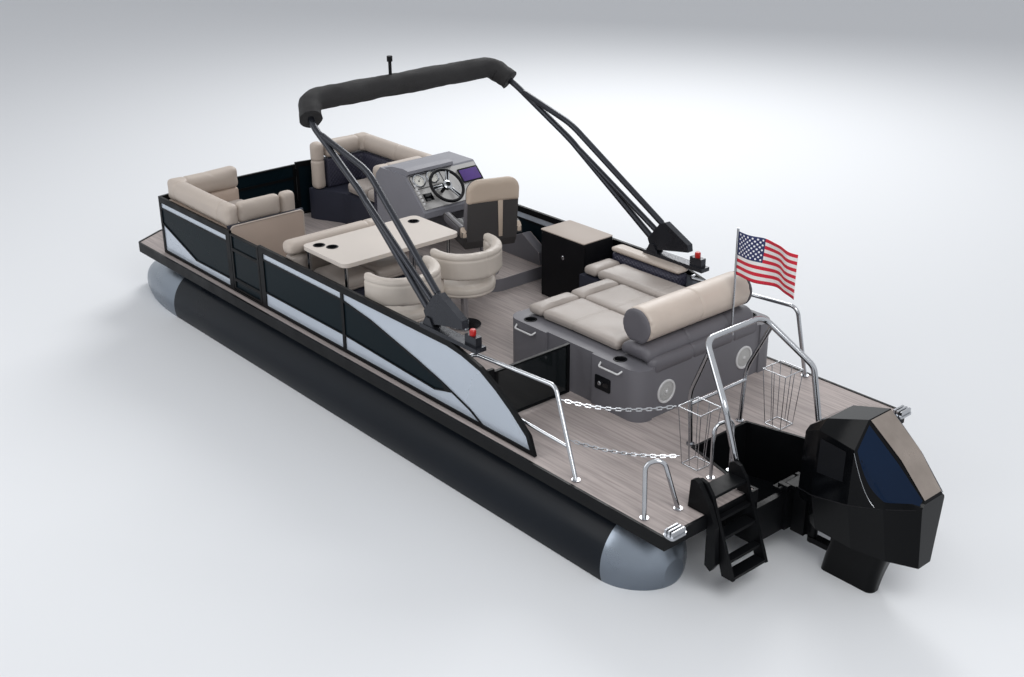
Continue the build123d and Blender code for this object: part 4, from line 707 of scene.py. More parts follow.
def make_bucket_chairs():
    """Swivelling chairs: a round seat, a wrapped back and two arm posts."""
    for which, (station, offset) in (("forward", (3.420, 0.130)), ("aft", (3.330, 0.850))):
        node, body = f"bucket_chair_{which}", f"bucket_{which}"
        cushion(f"{node}_seat", node, body, "pale_vinyl",
                foam_ring((station, offset), (0, 0.270), (SEAT_FOOT, 0.452), 0, 360, 0.036),
                seams=[seam_at("height", 0.375, 0.008, 0.007)], voxel=0.016)
        cushion(f"{node}_back", node, body, "pale_vinyl",
                foam_ring((station, offset), (0.247, 0.322), (0.512, 0.762), 77.5, 205, 0.034),
                seams=[seam_at("height", 0.700, *PIPING), seam_at("offset", offset, 0.007, 0.004)],
                voxel=0.016)
        for side, word in ((1, "port"), (-1, "starboard")):
            offsets = (offset + side * 0.254, offset + side * 0.302)
            cushion(f"{node}_arm_{word}", node, body, "pale_vinyl",
                    foam_plan(oblong((station - 0.075, station + 0.030), offsets), (0.390, 0.560),
                              0.015, 0.015), swell=0.006, voxel=0.012)


# Captain's chair: where it turns, how far its shell leans for each metre up, and the band over the shell
CAPTAIN_STATION, CAPTAIN_OFFSET = 4.060, -0.600
CAPTAIN_TURN = ring_turn(-20, CAPTAIN_STATION, CAPTAIN_OFFSET)
SHELL_LEAN = 0.138
BAND_FOOT, BAND_TOP, BAND_HALF, BAND_ROUND = 0.885, 1.106, 0.243, 0.115


def captain_pad(name, look, shape, node=None, **settings):
    """A padded piece of the captain's chair, turned with it."""
    cushion(name, node, "captain_chair", look, shape, turn=CAPTAIN_TURN, slot="upholstery", **settings)


def captain_offsets(side, near, far):
    """Two distances from the chair's middle to one side, as offsets in order."""
    return sorted((CAPTAIN_OFFSET + side * near, CAPTAIN_OFFSET + side * far))


def captain_seams(spread):
    """The pair of seams that run up a pad at a distance either side of its middle."""
    return [seam_at("offset", CAPTAIN_OFFSET + side * spread, *CREASE) for side in (-1, 1)]


def make_captain_chair():
    """Captain's chair: seat and back pads, a band over the shell's top, side bolsters and arm covers."""
    offset = CAPTAIN_OFFSET
    captain_pad("captain_seat_pad", "black_vinyl",
                foam_plan(oblong((3.940, 4.328), (offset - 0.220, offset + 0.220)), (0.501, 0.592),
                          0.05, 0.034),
                node="captain_cushions",
                seams=[seam_at("offset", offset + side * 0.13, 0.007, 0.006) for side in (-1, 1)])
    captain_pad("captain_back_pad", "charcoal_vinyl",
                foam_side([(3.868, 0.596), (3.926, 0.596), (3.855, 1.066), (3.798, 1.066)],
                          (offset - 0.188, offset + 0.188), 0.024),
                node="captain_cushions", seams=[seam_at("height", 0.90), *captain_seams(0.11)])
    outline = [(offset - BAND_HALF, BAND_FOOT), (offset + BAND_HALF, BAND_FOOT)]
    for side, first in ((1, 0), (-1, 90)):
        for i in range(7):
            angle = math.radians(first + 15 * i)
            outline.append((offset + side * (BAND_HALF - BAND_ROUND) + BAND_ROUND * math.cos(angle),
                            BAND_TOP - BAND_ROUND + BAND_ROUND * math.sin(angle)))
    top_band = foam_across(outline, (3.738, 3.806), 0.020)
    for vertex in top_band.verts:
        vertex.co.x -= SHELL_LEAN * (vertex.co.z - DECK_Z - BAND_FOOT)
    captain_pad("captain_top_band", "band_vinyl", top_band, swell=0.006, voxel=0.012)
    bolster = [(3.800, 0.560), (3.905, 0.560), (3.848, 0.905), (3.752, 0.905)]
    arm = [(3.850, 0.560), (4.300, 0.560), (4.318, 0.600), (4.300, 0.662), (3.850, 0.662)]
    for side, word in ((1, "port"), (-1, "starboard")):
        captain_pad(f"captain_side_bolster_{word}", "charcoal_vinyl",
                    foam_side(bolster, captain_offsets(side, 0.196, 0.246), 0.020), swell=0.006, voxel=0.012)
        captain_pad(f"captain_arm_cover_{word}", "charcoal_vinyl",
                    foam_side(arm, captain_offsets(side, 0.226, 0.290), 0.022), swell=0.005, voxel=0.013,
                    seams=[seam_at("station", 4.245, *CREASE)])


def chaise_roll_outline(grown=0.0):
    """The roll's section: round above and cut flat where it rests on the ledge, as station and height."""
    middle, radius = (1.333, 0.688), 0.142 + grown
    foot = 0.561 - grown
    half = math.acos((middle[1] - foot) / radius)
    points = []
    for i in range(33):
        turn = -math.pi / 2 + half + (2 * math.pi - 2 * half) * i / 32
        points.append((middle[0] + radius * math.cos(turn), middle[1] + radius * math.sin(turn)))
    return points


def make_chaise_roll():
    """The lounge's roll and its darker end caps."""
    # The roll's vinyl is the upholstery made lighter: painted light
    cushion("chaise_roll_body", "chaise_roll", "hull", "roll_vinyl",
            foam_side(chaise_roll_outline(), (-0.918, 0.203), 0.010),
            seams=[seam_at("offset", -0.358)], swell=0.010, voxel=0.020)
    for word, ends in (("port", (0.190, 0.215)), ("starboard", (-0.930, -0.905))):
        cushion(f"chaise_roll_cap_{word}", "chaise_roll", "hull", "charcoal_vinyl",
                foam_side(chaise_roll_outline(-0.004), ends, 0.011), swell=0.004, voxel=0.012)


def rounded_path(points, radii, steps=10):
    """Points along straight runs whose corners are rounded to the radii given."""
    path = [points[0]]
    for before, corner, after, radius in zip(points, points[1:], points[2:], radii):
        near, far = (before - corner).normalized(), (after - corner).normalized()
        half = near.angle(far) / 2
        setback = radius / math.tan(half)
        middle = corner + (near + far).normalized() * radius / math.sin(half)
        start, end = corner + near * setback - middle, corner + far * setback - middle
        for i in range(steps + 1):
            path.append(middle + start.slerp(end, i / steps, start).normalized() * radius)
    return [*path, points[-1]]


def tube_along(name, path, radius, sides=12):
    """A mesh tube along a path, as Blender's own bevelled curve gives it."""
    curve = bpy.data.curves.new(name, "CURVE")
    curve.dimensions = "3D"
    curve.bevel_depth = radius
    curve.bevel_resolution = max(1, sides // 4 - 1)
    curve.use_fill_caps = True
    spline = curve.splines.new("POLY")
    spline.points.add(len(path) - 1)
    for point, place in zip(spline.points, path):
        point.co = (*place, 1)
    made = bpy.data.objects.new(name, curve)
    mesh = bpy.data.meshes.new_from_object(made)
    bpy.data.objects.remove(made)
    return mesh


def piece_of(name, mesh, body, look, smooth=True, node=None):
    """A finished piece: its mesh in the scene with its finish, riding its body."""
    piece = bpy.data.objects.new(name, mesh)
    bpy.context.scene.collection.objects.link(piece)
    mesh.materials.clear()
    mesh.materials.append(FINISHES[look])
    mesh.polygons.foreach_set("use_smooth", [smooth] * len(mesh.polygons))
    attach(piece, body)
    if node:
        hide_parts(node)
    return piece


# Boot: the sleeve's radius, its lowest height and the arch's bends
BOOT_RADIUS = 0.102
BOOT_LOW = 1.803
ARCH_BENDS = (0.5, 0.13, 0.13, 0.5)


def make_boot():
    """Canvas boot laced over the folded top: one sleeve along the arch, wrinkled."""
    port = [at(3.450, 1.110, 1.405), at(4.190, 1.065, 1.810), at(4.330, 0.940, 1.925)]
    starboard = [Vector((p.x, -p.y, p.z)) for p in reversed(port)]
    path = rounded_path([*port, *starboard], ARCH_BENDS, 8)
    dense = []
    for start, end in zip(path, path[1:]):
        count = max(1, round((end - start).length / 0.022))
        dense += [start.lerp(end, i / count) for i in range(count)]
    dense = [p for p in dense if p.z > DECK_Z + BOOT_LOW]
    mesh = tube_along("tower_boot_sleeve", dense, BOOT_RADIUS - 0.010, 40)
    shape = bmesh.new()
    shape.from_mesh(mesh)
    shape.normal_update()
    for vertex in shape.verts:
        place = vertex.co
        fold = noise.noise(Vector((place.x * 9, place.y * 5, place.z * 16)))
        pleat = noise.noise(Vector((place.x * 30, place.y * 11, place.z * 30)))
        vertex.co += vertex.normal * (0.011 * fold + 0.005 * pleat)
    shape.to_mesh(mesh)
    shape.free()
    sleeve = piece_of("tower_boot_sleeve", mesh, "tower", "canvas", node="tower_boot")


# Flag: its place, how far its lower edge hangs, its flat size and its pattern
FLAG_HEIGHTS = (0.880, 1.250)
FLAG_STATIONS = (1.163, 0.612)
FLAG_OFFSET = -0.670
FLAG_DROP = 0.03
FLAG_STRIPES = 13
CANTON_LENGTH, CANTON_LOW = 0.4, 6 / 13


def flag_look():
    """Thirteen stripes and a navy canton of small white stars, by the cloth's own map."""
    material = finish("flag_cloth", (205, 34, 56), (0.65, 0.8), mottle=(6, 0.03), relief=(WEAVE, 250, 0.0006))
    tree = material.node_tree
    shader = tree.nodes["Principled BSDF"]

    def sum_of(operation, *terms):
        """A sum in the flag's own tree."""
        return reckon(tree, operation, *terms).outputs[0]

    cloth = add_node(tree, "ShaderNodeUVMap", uv_map="cloth")
    parts = add_node(tree, "ShaderNodeSeparateXYZ")
    tree.links.new(cloth.outputs["UV"], parts.inputs[0])
    along, up = parts.outputs["X"], parts.outputs["Y"]
    stripe = sum_of("MODULO", sum_of("FLOOR", sum_of("MULTIPLY", up, FLAG_STRIPES)), 2)
    look = painted(tree, shader.inputs["Base Color"].links[0].from_socket, tone(236, 234, 232), stripe)
    near_hoist, upper = sum_of("LESS_THAN", along, CANTON_LENGTH), sum_of("GREATER_THAN", up, CANTON_LOW)
    look = painted(tree, look, tone(36, 46, 92), sum_of("MULTIPLY", near_hoist, upper))
    # Stars: two sets of cells, one shifted by half a cell, each with a dot in its middle
    across = sum_of("DIVIDE", along, CANTON_LENGTH / 6)
    rise = sum_of("DIVIDE", sum_of("SUBTRACT", up, CANTON_LOW), (1 - CANTON_LOW) / 5)
    cells = add_node(tree, "ShaderNodeCombineXYZ")
    tree.links.new(across, cells.inputs[0])
    tree.links.new(rise, cells.inputs[1])
    gaps = []
    for shift in (0.0, 0.5):
        place = cells.outputs[0]
        for operation, *more in (("ADD", (shift, shift, 0)), ("FRACTION",), ("DISTANCE", (0.5, 0.5, 0))):
            node = reckon(tree, operation, place, *more, kind="ShaderNodeVectorMath")
            place = node.outputs[0]
        gaps.append(node.outputs["Value"])
    star = sum_of("LESS_THAN", sum_of("MINIMUM", *gaps), 0.2)
    for middle, half, term in ((3.0, 2.75, across), (2.5, 2.25, rise)):
        star = sum_of("MULTIPLY", star, sum_of("COMPARE", term, middle, half))
    look = painted(tree, look, tone(236, 236, 240), star)
    tree.links.new(look, shader.inputs["Base Color"])
    return material


def make_flag():
    """Flag: one waving cloth hemmed to the pole's sleeve."""
    shape = bmesh.new()
    shape.loops.layers.uv.new("cloth")
    bmesh.ops.create_grid(shape, x_segments=60, y_segments=34, size=0.5, calc_uvs=True)
    (hoist, fly), (low, high) = FLAG_STATIONS, FLAG_HEIGHTS
    for vertex in shape.verts:
        along, up = vertex.co.x + 0.5, vertex.co.y + 0.5
        wave = 0.034 * math.sin(7.5 * along + 1.4 * up) * min(1, along * 3)
        wave += 0.010 * math.sin(17 * along - 2.2 * up + 1) * along
        droop = 0.030 * along * along + 0.008 * math.sin(6 * along) * along
        height = low + FLAG_DROP + (high - low - FLAG_DROP) * up - droop
        vertex.co = at(hoist + (fly - hoist) * along, FLAG_OFFSET + wave, height)
    mesh = bpy.data.meshes.new("flag_waving")
    shape.to_mesh(mesh)
    shape.free()
    FINISHES["flag_cloth"] = flag_look()
    flag = piece_of("flag_waving", mesh, "hull", "flag_cloth", node="flag")
    wall = flag.modifiers.new("wall", "SOLIDIFY")
    wall.thickness = 0.0012


# Fittings and trim

def mesh_from(shape, name, crisp=35):
    """A mesh from a bmesh, with its crisp edges marked."""
    for edge in shape.edges:
        edge.smooth = not (edge.is_manifold and edge.calc_face_angle() > math.radians(crisp))
    mesh = bpy.data.meshes.new(name)
    shape.to_mesh(mesh)
    shape.free()
    return mesh


def slab(name, corners, direction, body, look, ease=0.0015, turn=None, corner=0.0):
    """A plate: an outline of points pushed along a direction, its corners and edges rounded."""
    shape = pushed_out(corners, Vector(direction))
    if corner:
        along = Vector(direction).normalized()
        upright = [e for e in sharp_edges(shape, 20)
                   if abs((e.verts[0].co - e.verts[1].co).normalized().dot(along)) > 0.95]
        round_over(shape, upright, corner, 5)
    round_over(shape, sharp_edges(shape), ease, 2)
    if turn:
        bmesh.ops.transform(shape, matrix=turn, verts=shape.verts)
    return piece_of(name, mesh_from(shape, name), body, look)


def turned(profile, place, direction, steps=40):
    """A turned solid: a profile of radius and length spun about a direction through a place."""
    shape = bmesh.new()
    line = [shape.verts.new((radius, 0, along)) for radius, along in profile]
    edges = [shape.edges.new(pair) for pair in zip(line, line[1:])]
    bmesh.ops.spin(
        shape, geom=[*line, *edges], cent=(0, 0, 0), axis=(0, 0, 1), angle=2 * math.pi, steps=steps,
        use_merge=True,
    )
    bmesh.ops.remove_doubles(shape, verts=shape.verts, dist=0.00001)
    bmesh.ops.recalc_face_normals(shape, faces=shape.faces)
    aim = Vector(direction).to_track_quat("Z", "Y").to_matrix().to_4x4()
    bmesh.ops.transform(shape, matrix=Matrix.Translation(place) @ aim, verts=shape.verts)
    return shape


def turned_piece(name, profile, place, direction, body, look, steps=40):
    """A turned solid as a piece."""
    return piece_of(name, mesh_from(turned(profile, place, direction, steps), name), body, look)


def button(radius, height, edge=0.002):
    """The profile of a low disc with an eased rim."""
    return [(0, 0), (radius, 0), (radius, height - edge), (radius - edge, height), (0, height)]


def ring(inner, outer, height, edge=0.0015):
    """The profile of a flat ring with eased rims."""
    return [(inner, 0), (outer, 0), (outer, height - edge), (outer - edge, height), (inner + edge, height),
            (inner, height - edge), (inner, 0)]


def bent_tube(name, points, bends, radius, body, look, sides=16):
    """A tube through points with rounded corners, as a piece."""
    return piece_of(name, tube_along(name, rounded_path(points, bends, 6), radius, sides), body, look)


# Cowl: sections from its front to its aft face, as a station and its corners from the ridge down
COWL_ROWS = [
    (-0.165, ((0.125, 0.455), (0.165, 0.425), (0.188, 0.010), (0.120, -0.200))),
    (-0.300, ((0.138, 0.560), (0.212, 0.500), (0.232, 0.030), (0.150, -0.262))),
    (-0.585, ((0.116, 0.653), (0.236, 0.480), (0.246, 0.090), (0.150, -0.275))),
    (-0.830, ((0.108, 0.462), (0.214, 0.240), (0.232, 0.165), (0.126, -0.262))),
    (-1.030, ((0.095, 0.238), (0.116, 0.222), (0.122, 0.205), (0.066, -0.245))),
]
# A place inside the cowl, which its skins face away from
COWL_MIDDLE = (-0.55, 0, 0.1)


def on_cowl(along, down, side=1):
    """A point on the cowl: part of the way along its sections and down their corners."""
    row, place = min(int(along), len(COWL_ROWS) - 2), min(int(down), 2)
    part, share = along - row, down - place
    station = COWL_ROWS[row][0] + (COWL_ROWS[row + 1][0] - COWL_ROWS[row][0]) * part
    ends = []
    for corners in (COWL_ROWS[row][1], COWL_ROWS[row + 1][1]):
        (half, height), (next_half, next_height) = corners[place], corners[place + 1]
        ends.append((half + (next_half - half) * share, height + (next_height - height) * share))
    (half, height), (far_half, far_height) = ends
    return at(station, side * (half + (far_half - half) * part), height + (far_height - height) * part)


def cowl_patch(start, end, edges, side, steps=10):
    """Rows of points over part of the cowl; edges gives its upper and lower place down at each station."""
    rows = []
    for i in range(steps + 1):
        along = start + (end - start) * i / steps
        upper, lower = edges(i / steps)
        rows.append([on_cowl(along, upper + (lower - upper) * k / 5, side) for k in range(6)])
    return rows


def skin(name, rows, thickness, look, lift):
    """A thin skin over rows of points on the cowl, lifted clear of it and thickened outwards."""
    shape = bmesh.new()
    grid = [[shape.verts.new(p) for p in row] for row in rows]
    for near, far in zip(grid, grid[1:]):
        for corners in zip(near, near[1:], far[1:], far):
            shape.faces.new(corners)
    bmesh.ops.recalc_face_normals(shape, faces=shape.faces)
    shape.normal_update()
    middle = at(*COWL_MIDDLE)
    outward = sum(f.normal.dot(f.calc_center_median() - middle) * f.calc_area() for f in shape.faces)
    if outward < 0:
        bmesh.ops.reverse_faces(shape, faces=shape.faces)
        shape.normal_update()
    for vertex in shape.verts:
        vertex.co += vertex.normal * lift
    bmesh.ops.solidify(shape, geom=shape.faces[:], thickness=-thickness)
    bmesh.ops.recalc_face_normals(shape, faces=shape.faces)
    return piece_of(name, mesh_from(shape, name, 20), "outboard", look)


def facet_edges(share):
    """The facet's upper edge runs straight and its lower edge bellies out, part of the way along."""
    return 0.09, 0.93 + 0.45 * math.sin(math.pi * min(1, share * 1.15))


def panel_edges(share):
    """The side panel's edges run straight."""
    return 1.10, 1.62


def make_cowl_trim():
    """Outboard: the ridge plate, the blue-black side facets, the side panels, the belt seam and creases."""
    ridge = []
    for along in (2.03, 3.0, 3.93):
        edge = on_cowl(along, 0)
        ridge.append([Vector((edge.x, edge.y * k, edge.z)) for k in (-0.94, -0.3, 0.3, 0.94)])
    skin("cowl_ridge_plate", ridge, 0.005, "bronze_plate", 0.001)
    for side, word in ((1, "port"), (-1, "starboard")):
        facet = cowl_patch(2.06, 3.9, facet_edges, side, 18)
        skin(f"cowl_facet_{word}", facet, 0.004, "blue_black", 0.003)
        panel = cowl_patch(1.08, 1.80, panel_edges, side, 6)
        skin(f"cowl_side_panel_{word}", panel, 0.004, "satin_black", 0.001)
        belt = [on_cowl(i * 0.24, 2, side) for i in range(17)]
        crease = [on_cowl(2.0 + 0.75 * i / 8, 1.05 + 0.9 * i / 8, side) for i in range(9)]
        for line, path, radius, look in (("belt", belt, 0.0035, "black_plastic"),
                                         ("crease", crease, 0.0022, "stainless")):
            name = f"cowl_{line}_{word}"
            piece_of(name, tube_along(name, path, radius, 8), "outboard", look)


# Cup holders: the rim's profile and the place of each
CUP_RADIUS = 0.0408
CUP_RIM = [
    (CUP_RADIUS, -0.060), (0.0416, -0.060), (0.0416, 0.0), (0.052, 0.0005), (0.053, 0.002),
    (0.050, 0.004), (0.043, 0.004), (CUP_RADIUS, 0.001), (CUP_RADIUS, -0.060),
]
CUP_PLACES = (
    (2.420, 0.262, 0.410), (1.430, 0.262, 0.410), (1.340, -1.095, 0.410),
    (4.290, 0.990, 0.700), (4.180, 0.930, 0.700), (4.260, 0.020, 0.700),
)


def make_chaise_trim():
    """Aft lounge: a padded roll under the ledge, speakers, handles, stereo, and all the cup rings."""
    cushion("chaise_ledge_roll", None, "hull", "charcoal_vinyl",
            foam_side(oblong((1.151, 1.260), (0.335, 0.470)), (-0.992, 0.196), 0.045), seams=LOUNGE_SEAMS)
    grille = [(0, 0), (0.077, 0), (0.077, 0.003), (0.05, 0.008), (0, 0.010)]
    for word, offset, height in (("port", 0.044, 0.178), ("starboard", -0.831, 0.182)):
        place = at(1.1655, offset, height)
        for part, profile, look in (("rim", ring(0.076, 0.094, 0.010, 0.003), "white_trim"),
                                    ("grille", grille, "white_grille"),
                                    ("boss", button(0.016, 0.013, 0.004), "white_trim")):
            turned_piece(f"speaker_{part}_{word}", profile, place, (-1, 0, 0), "hull", look)
    for index, aft in enumerate((1.330, 2.270)):
        points = [at(aft + along, offset, height) for along, offset, height in
                  ((0, 0.340, 0.372), (0.012, 0.376, 0.352), (0.208, 0.376, 0.352), (0.220, 0.340, 0.372))]
        bent_tube(f"grab_handle_{index}", points, (0.016, 0.016), 0.0075, "hull", "white_trim")
    panel = [at(station, 0.344, height) for station, height in oblong((1.440, 1.600), (0.150, 0.262))]
    slab("stereo_panel", panel, (0, 0.008, 0), "hull", "satin_black", corner=0.012)
    turned_piece("stereo_knob", button(0.017, 0.012, 0.003), at(1.545, 0.352, 0.205), (0, 1, 0), "hull",
                 "stainless")
    display = [at(station, 0.352, height) for station, height in oblong((1.455, 1.515), (0.185, 0.225))]
    slab("stereo_display", display, (0, 0.0015, 0), "hull", "dark_glass", corner=0.003, ease=0.0006)
    for index, (station, offset, height) in enumerate(CUP_PLACES):
        turned_piece(f"cup_ring_{index}", CUP_RIM, at(station, offset, height), (0, 0, 1), "hull",
                     "satin_black")
        turned_piece(f"cup_mat_{index}", button(0.040, 0.003, 0.001), at(station, offset, height - 0.066),
                     (0, 0, 1), "hull", "satin_black")


def make_bow_panels():
    """A flat upholstered panel in a moulded rim on the aft face of the port bow lounge."""
    station, near, far, low, high = 5.500, 0.402, 1.168, 0.012, 0.592
    corners = [at(station, near, low), at(station, far, low), at(station, far, high), at(station, near, high)]
    slab("bow_port_end_panel", corners, (-0.008, 0, 0), "hull", "panel_vinyl", corner=0.035,
         ease=0.004)
    rim = [corners[0].lerp(corners[1], 0.5), *corners[1:], corners[0], corners[0].lerp(corners[1], 0.5)]
    rim = [p + Vector((-0.007, 0, 0)) for p in rim]
    bent_tube("bow_port_end_rim", rim, (0.04,) * 4, 0.0085, "hull", "upholstery")


# Dash panel: its middle, and the directions up along it and out from it
DASH_MIDDLE = (4.750, -0.770, 0.750)
DASH_UP = Vector((math.sqrt(0.5), 0, math.sqrt(0.5)))
DASH_OUT = Vector((-math.sqrt(0.5), 0, math.sqrt(0.5)))


def on_dash(up, across, out):
    """A point up, across to port and out from the dash panel's middle."""
    return at(*DASH_MIDDLE) + DASH_UP * up + Vector((0, across, 0)) + DASH_OUT * out


def dash_slab(name, middle, size, out, thickness, look, corner=0.004, ease=0.001):
    """A plate on the dash: its middle, its size up and across, and how far out it starts."""
    (up, across), (tall, wide) = middle, size
    corners = [on_dash(up + u, across + a, out)
               for u, a in oblong((-tall / 2, tall / 2), (-wide / 2, wide / 2))]
    return slab(name, corners, DASH_OUT * thickness, "hull", look, corner=corner, ease=ease)


def dash_strips(middle, direction, out, rows):
    """The corners of a flat strip on the dash, from its distances along and across a direction."""
    side = DASH_OUT.cross(direction)
    return [on_dash(*middle, out) + direction * along + side * across for along, across in rows]


def make_gauge(index, middle):
    """A gauge: its white face, bezel and boss, with ticks and a needle."""
    for part, profile, out, look, steps in (
        ("face", button(0.055, 0.003, 0.001), 0.0145, "gauge_white", 40),
        ("bezel", ring(0.055, 0.070, 0.014, 0.004), 0.0145, "stainless", 40),
        ("boss", button(0.008, 0.004, 0.001), 0.0170, "satin_black", 16),
    ):
        turned_piece(f"gauge_{part}_{index}", profile, on_dash(*middle, out), DASH_OUT, "hull", look, steps)
    shape = bmesh.new()
    strips = []
    for tick in range(11):
        turn = math.radians(-40 + 26 * tick)
        outward = DASH_UP * math.sin(turn) + Vector((0, 1, 0)) * math.cos(turn)
        strips.append(dash_strips(middle, outward, 0.0176, oblong((0.038, 0.050), (-0.0014, 0.0014))))
    needle = DASH_UP * 0.7 + Vector((0, -0.7, 0))
    strips.append(dash_strips(middle, needle, 0.0180,
                              ((-0.010, -0.002), (0.042, -0.0008), (0.042, 0.0008), (-0.010, 0.002))))
    for strip in strips:
        shape.faces.new([shape.verts.new(p) for p in strip])
    bmesh.ops.solidify(shape, geom=shape.faces[:], thickness=0.0006)
    bmesh.ops.recalc_face_normals(shape, faces=shape.faces)
    name = f"gauge_marks_{index}"
    piece_of(name, mesh_from(shape, name), "hull", "satin_black", smooth=False)


def make_helm_trim():
    """Helm: gauges, switches, radio, screen, the outline round the gauges and the wheel's cover."""
    for index, middle in enumerate(((0.115, 0.305), (0.125, 0.140))):
        make_gauge(index, middle)
    for index in range(6):
        dash_slab(f"dash_switch_{index}", (-0.125 + 0.040 * index, 0.374), (0.026, 0.022), 0.0142, 0.008,
                  "white_trim", corner=0.003, ease=0.002)
    for name, middle, size, out, thickness, look, corner, ease in (
        ("dash_radio", (-0.070, 0.300), (0.082, 0.102), 0.0262, 0.002, "dark_glass", 0.004, 0.001),
        ("dash_screen_bezel", (0.056, -0.270), (0.156, 0.246), 0.0262, 0.004, "satin_black", 0.014, 0.001),
        ("dash_screen", (0.056, -0.270), (0.122, 0.212), 0.0302, 0.001, "screen_purple", 0.006, 0.0004),
        ("dash_gauge_field", (0.110, 0.222), (0.132, 0.320), 0.0142, 0.0016, "silver_dash", 0.030, 0.0006),
    ):
        dash_slab(name, middle, size, out, thickness, look, corner, ease)
    outline = [on_dash(up, across, 0.0150) for up, across in
               ((0.035, 0.222), (0.035, 0.390), (0.180, 0.390), (0.180, 0.040), (0.035, 0.040),
                (0.035, 0.222))]
    bent_tube("dash_gauge_outline", outline, (0.03,) * 4, 0.0035, "hull", "satin_black", 8)
    hub = at(4.632, -0.650, 0.808)
    cover = [(0, 0), (0.045, 0), (0.045, 0.004), (0.036, 0.010), (0, 0.014)]
    turned_piece("wheel_hub_cover", cover, hub + DASH_OUT * 0.0172, DASH_OUT, "wheel", "stainless")
    turned_piece("wheel_hub_cap", button(0.024, 0.005, 0.002), hub + DASH_OUT * 0.0305, DASH_OUT, "wheel",
                 "satin_black")
    for index in range(3):
        turn = math.radians(90 + 120 * index)
        outward = DASH_UP * math.cos(turn) + Vector((0, 1, 0)) * math.sin(turn)
        side = DASH_OUT.cross(outward)
        for half, word in ((0.011, "a"), (-0.011, "b")):
            corners = [hub + DASH_OUT * 0.0042 + outward * reach + side * (half * spread + width)
                       for reach, spread, width in ((0.040, 0.9, -0.006), (0.155, 1.5, -0.005),
                                                    (0.155, 1.5, 0.005), (0.040, 0.9, 0.006))]
            slab(f"wheel_spoke_{index}{word}", corners, DASH_OUT * 0.006, "wheel", "stainless", ease=0.002)


def make_captain_trim():
    """Captain's chair: the pale strip down the shell and end caps on the arms."""
    foot, top = (3.722 + (1.085 - height) * SHELL_LEAN for height in (0.545, 0.912))
    corners = [at(station, CAPTAIN_OFFSET + across, height) for station, across, height in
               ((foot, -0.098, 0.545), (foot, -0.062, 0.545), (top, -0.040, 0.912), (top, -0.088, 0.912))]
    slab("captain_strip", corners, (-0.007, 0, 0), "captain_chair", "band_vinyl", ease=0.003,
         turn=CAPTAIN_TURN)
    cap = [(3.788, 0.562), (3.846, 0.562), (3.846, 0.664), (3.788, 0.620)]
    for side, word in ((1, "port"), (-1, "starboard")):
        captain_pad(f"captain_arm_cap_{word}", "band_vinyl",
                    foam_side(cap, captain_offsets(side, 0.230, 0.288), 0.014), swell=0.003, voxel=0.009)


def band(name, path, heights, wall, body, look):
    """An upright band along a plan path of stations and offsets."""
    low, high = heights
    shape = bmesh.new()
    feet = [shape.verts.new(at(s, y, low)) for s, y in path]
    edges = [shape.edges.new(pair) for pair in zip(feet, feet[1:])]
    upper = bmesh.ops.extrude_edge_only(shape, edges=edges)["geom"]
    bmesh.ops.translate(shape, verts=risen(upper), vec=(0, 0, high - low))
    bmesh.ops.solidify(shape, geom=shape.faces[:], thickness=wall)
    bmesh.ops.recalc_face_normals(shape, faces=shape.faces)
    return piece_of(name, mesh_from(shape, name), body, look)


def make_platform_trim():
    """Helm platform: the moulded wing beside the chair and the grey band round the step."""
    wing = [(3.812, 0.124), (3.827, 0.253), (4.060, 0.384), (4.243, 0.303), (4.424, 0.124)]
    slab("helm_wing", [at(s, -1.184, z) for s, z in wing], (0, 0.102, 0), "hull", "grey_shell", ease=0.012)
    path = [(3.798, -1.184), (3.798, -0.650)]
    path += [(4.020 - 0.222 * math.cos(math.radians(a)), -0.650 + 0.222 * math.sin(math.radians(a)))
             for a in range(10, 91, 10)]
    path += [(4.976, -0.428)]
    band("helm_step_band", path, (0.002, 0.122), 0.003, "hull", "grey_shell")


def make_cabinet_trim():
    """Cabinet: the pale top and the round latch on its door."""
    corners = [at(station, offset, 0.6195) for station, offset in oblong((2.958, 3.520), (-1.184, -0.824))]
    # The top takes a darker copy of the pale top's finish: painted shade against the lamps' highlight
    slab("cabinet_top", corners, (0, 0, 0.010), "hull", "counter_top", corner=0.02, ease=0.004)
    face = max(point[1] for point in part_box("cabinet_door"))
    latch = [(0, 0), (0.020, 0), (0.020, 0.003), (0.014, 0.006), (0.006, 0.004), (0, 0.004)]
    place = at(3.230, 0, 0.430)
    place.y = face
    turned_piece("cabinet_latch", latch, place, (0, 1, 0), "cabinet_leaf", "stainless")


def make_tower_trim():
    """Tower: full-bore sleeves on the slimmer tubes and red knobs at the catches."""
    for side, word in ((1, "port"), (-1, "starboard")):
        rear = [at(2.345, side * 1.188, 0.850), at(3.390, side * 1.062, 1.560),
                at(4.060, side * 1.072, 1.735)]
        rear[0] = rear[0].lerp(rear[1], 0.05)
        rear[2] = rear[1].lerp(rear[2], 0.90)
        bent_tube(f"tower_rear_sleeve_{word}", rear, (0.600,), 0.0262, "tower", "graphite_tube", 20)
        middle = [at(2.400, side * 1.188, 0.770), at(3.520, side * 1.104, 1.440)]
        middle[0] = middle[0].lerp(middle[1], 0.06)
        name = f"tower_middle_sleeve_{word}"
        piece_of(name, tube_along(name, middle, 0.0245, 20), "tower", "graphite_tube")
        turned_piece(f"tower_catch_knob_{word}",
                     [(0, 0), (0.0225, 0), (0.0245, 0.012), (0.0245, 0.040), (0.018, 0.048), (0, 0.050)],
                     at(1.990, side * 1.188, 0.688), (0, 0, 1), "hull", "red_knob")


# Stage

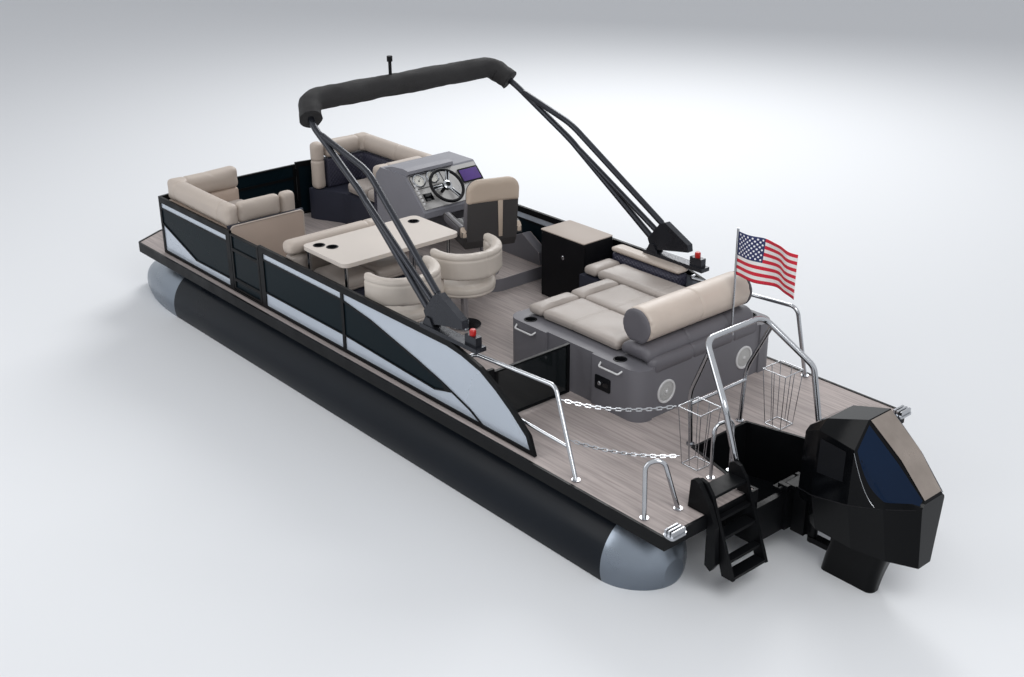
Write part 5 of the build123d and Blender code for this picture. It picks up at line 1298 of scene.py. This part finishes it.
def make_stage():
    """A plain pale floor at the waterline, the world and soft lamps."""
    bpy.ops.mesh.primitive_plane_add(size=120, location=(0, 0, 0))
    floor = bpy.context.object
    floor.name = "floor"
    pale_floor = bpy.data.materials.new("pale_floor")
    pale_floor.use_nodes = True
    surface = pale_floor.node_tree.nodes["Principled BSDF"]
    surface.inputs["Base Color"].default_value = tone(226, 228, 230)
    surface.inputs["Roughness"].default_value = 0.9
    floor.data.materials.append(pale_floor)
    world = bpy.data.worlds.new("studio")
    bpy.context.scene.world = world
    world.use_nodes = True
    tree = world.node_tree
    fill = tree.nodes["Background"]
    fill.inputs["Color"].default_value = (0.93, 0.95, 1.0, 1)
    fill.inputs["Strength"].default_value = 0.55
    pale = add_node(tree, "ShaderNodeBackground")
    pale.inputs["Color"].default_value = (0.86, 0.88, 0.9, 1)
    pale.inputs["Strength"].default_value = 1.0
    # The camera and glossy surfaces see the paler sky, everything else is lit by the fill
    rays = add_node(tree, "ShaderNodeLightPath")
    seen = reckon(tree, "ADD", rays.outputs["Is Camera Ray"], rays.outputs["Is Glossy Ray"])
    seen.use_clamp = True
    both = add_node(tree, "ShaderNodeMixShader")
    for socket, source in zip(both.inputs, (seen, fill, pale)):
        tree.links.new(source.outputs[0], socket)
    tree.links.new(both.outputs[0], tree.nodes["World Output"].inputs["Surface"])
    # Lamps: place, aim, width, watts
    for place, aim, width, watts in (
        ((6, -9, 9), (0, 0, 0.8), 6, 900),
        ((-9, 3, 8), (-1, 0, 0.8), 5, 420),
        ((3, 9, 6), (0, 0, 0.5), 6, 260),
    ):
        light = bpy.data.lights.new("lamp", "AREA")
        light.size = width
        light.energy = watts
        lamp = bpy.data.objects.new("lamp", light)
        bpy.context.scene.collection.objects.link(lamp)
        lamp.location = place
        lamp.rotation_euler = (Vector(aim) - Vector(place)).to_track_quat("-Z", "Y").to_euler()
    bpy.context.scene.view_settings.view_transform = "Standard"


make_camera()
make_stage()
dress_nodes()
make_bow_lounges()
make_dinette()
make_chaise()
make_chaise_roll()
make_side_back()
make_bucket_chairs()
make_captain_chair()
make_chaise_trim()
make_captain_trim()
finish_cushions()
make_boot()
make_flag()
make_cowl_trim()
make_bow_panels()
make_helm_trim()
make_platform_trim()
make_cabinet_trim()
make_tower_trim()
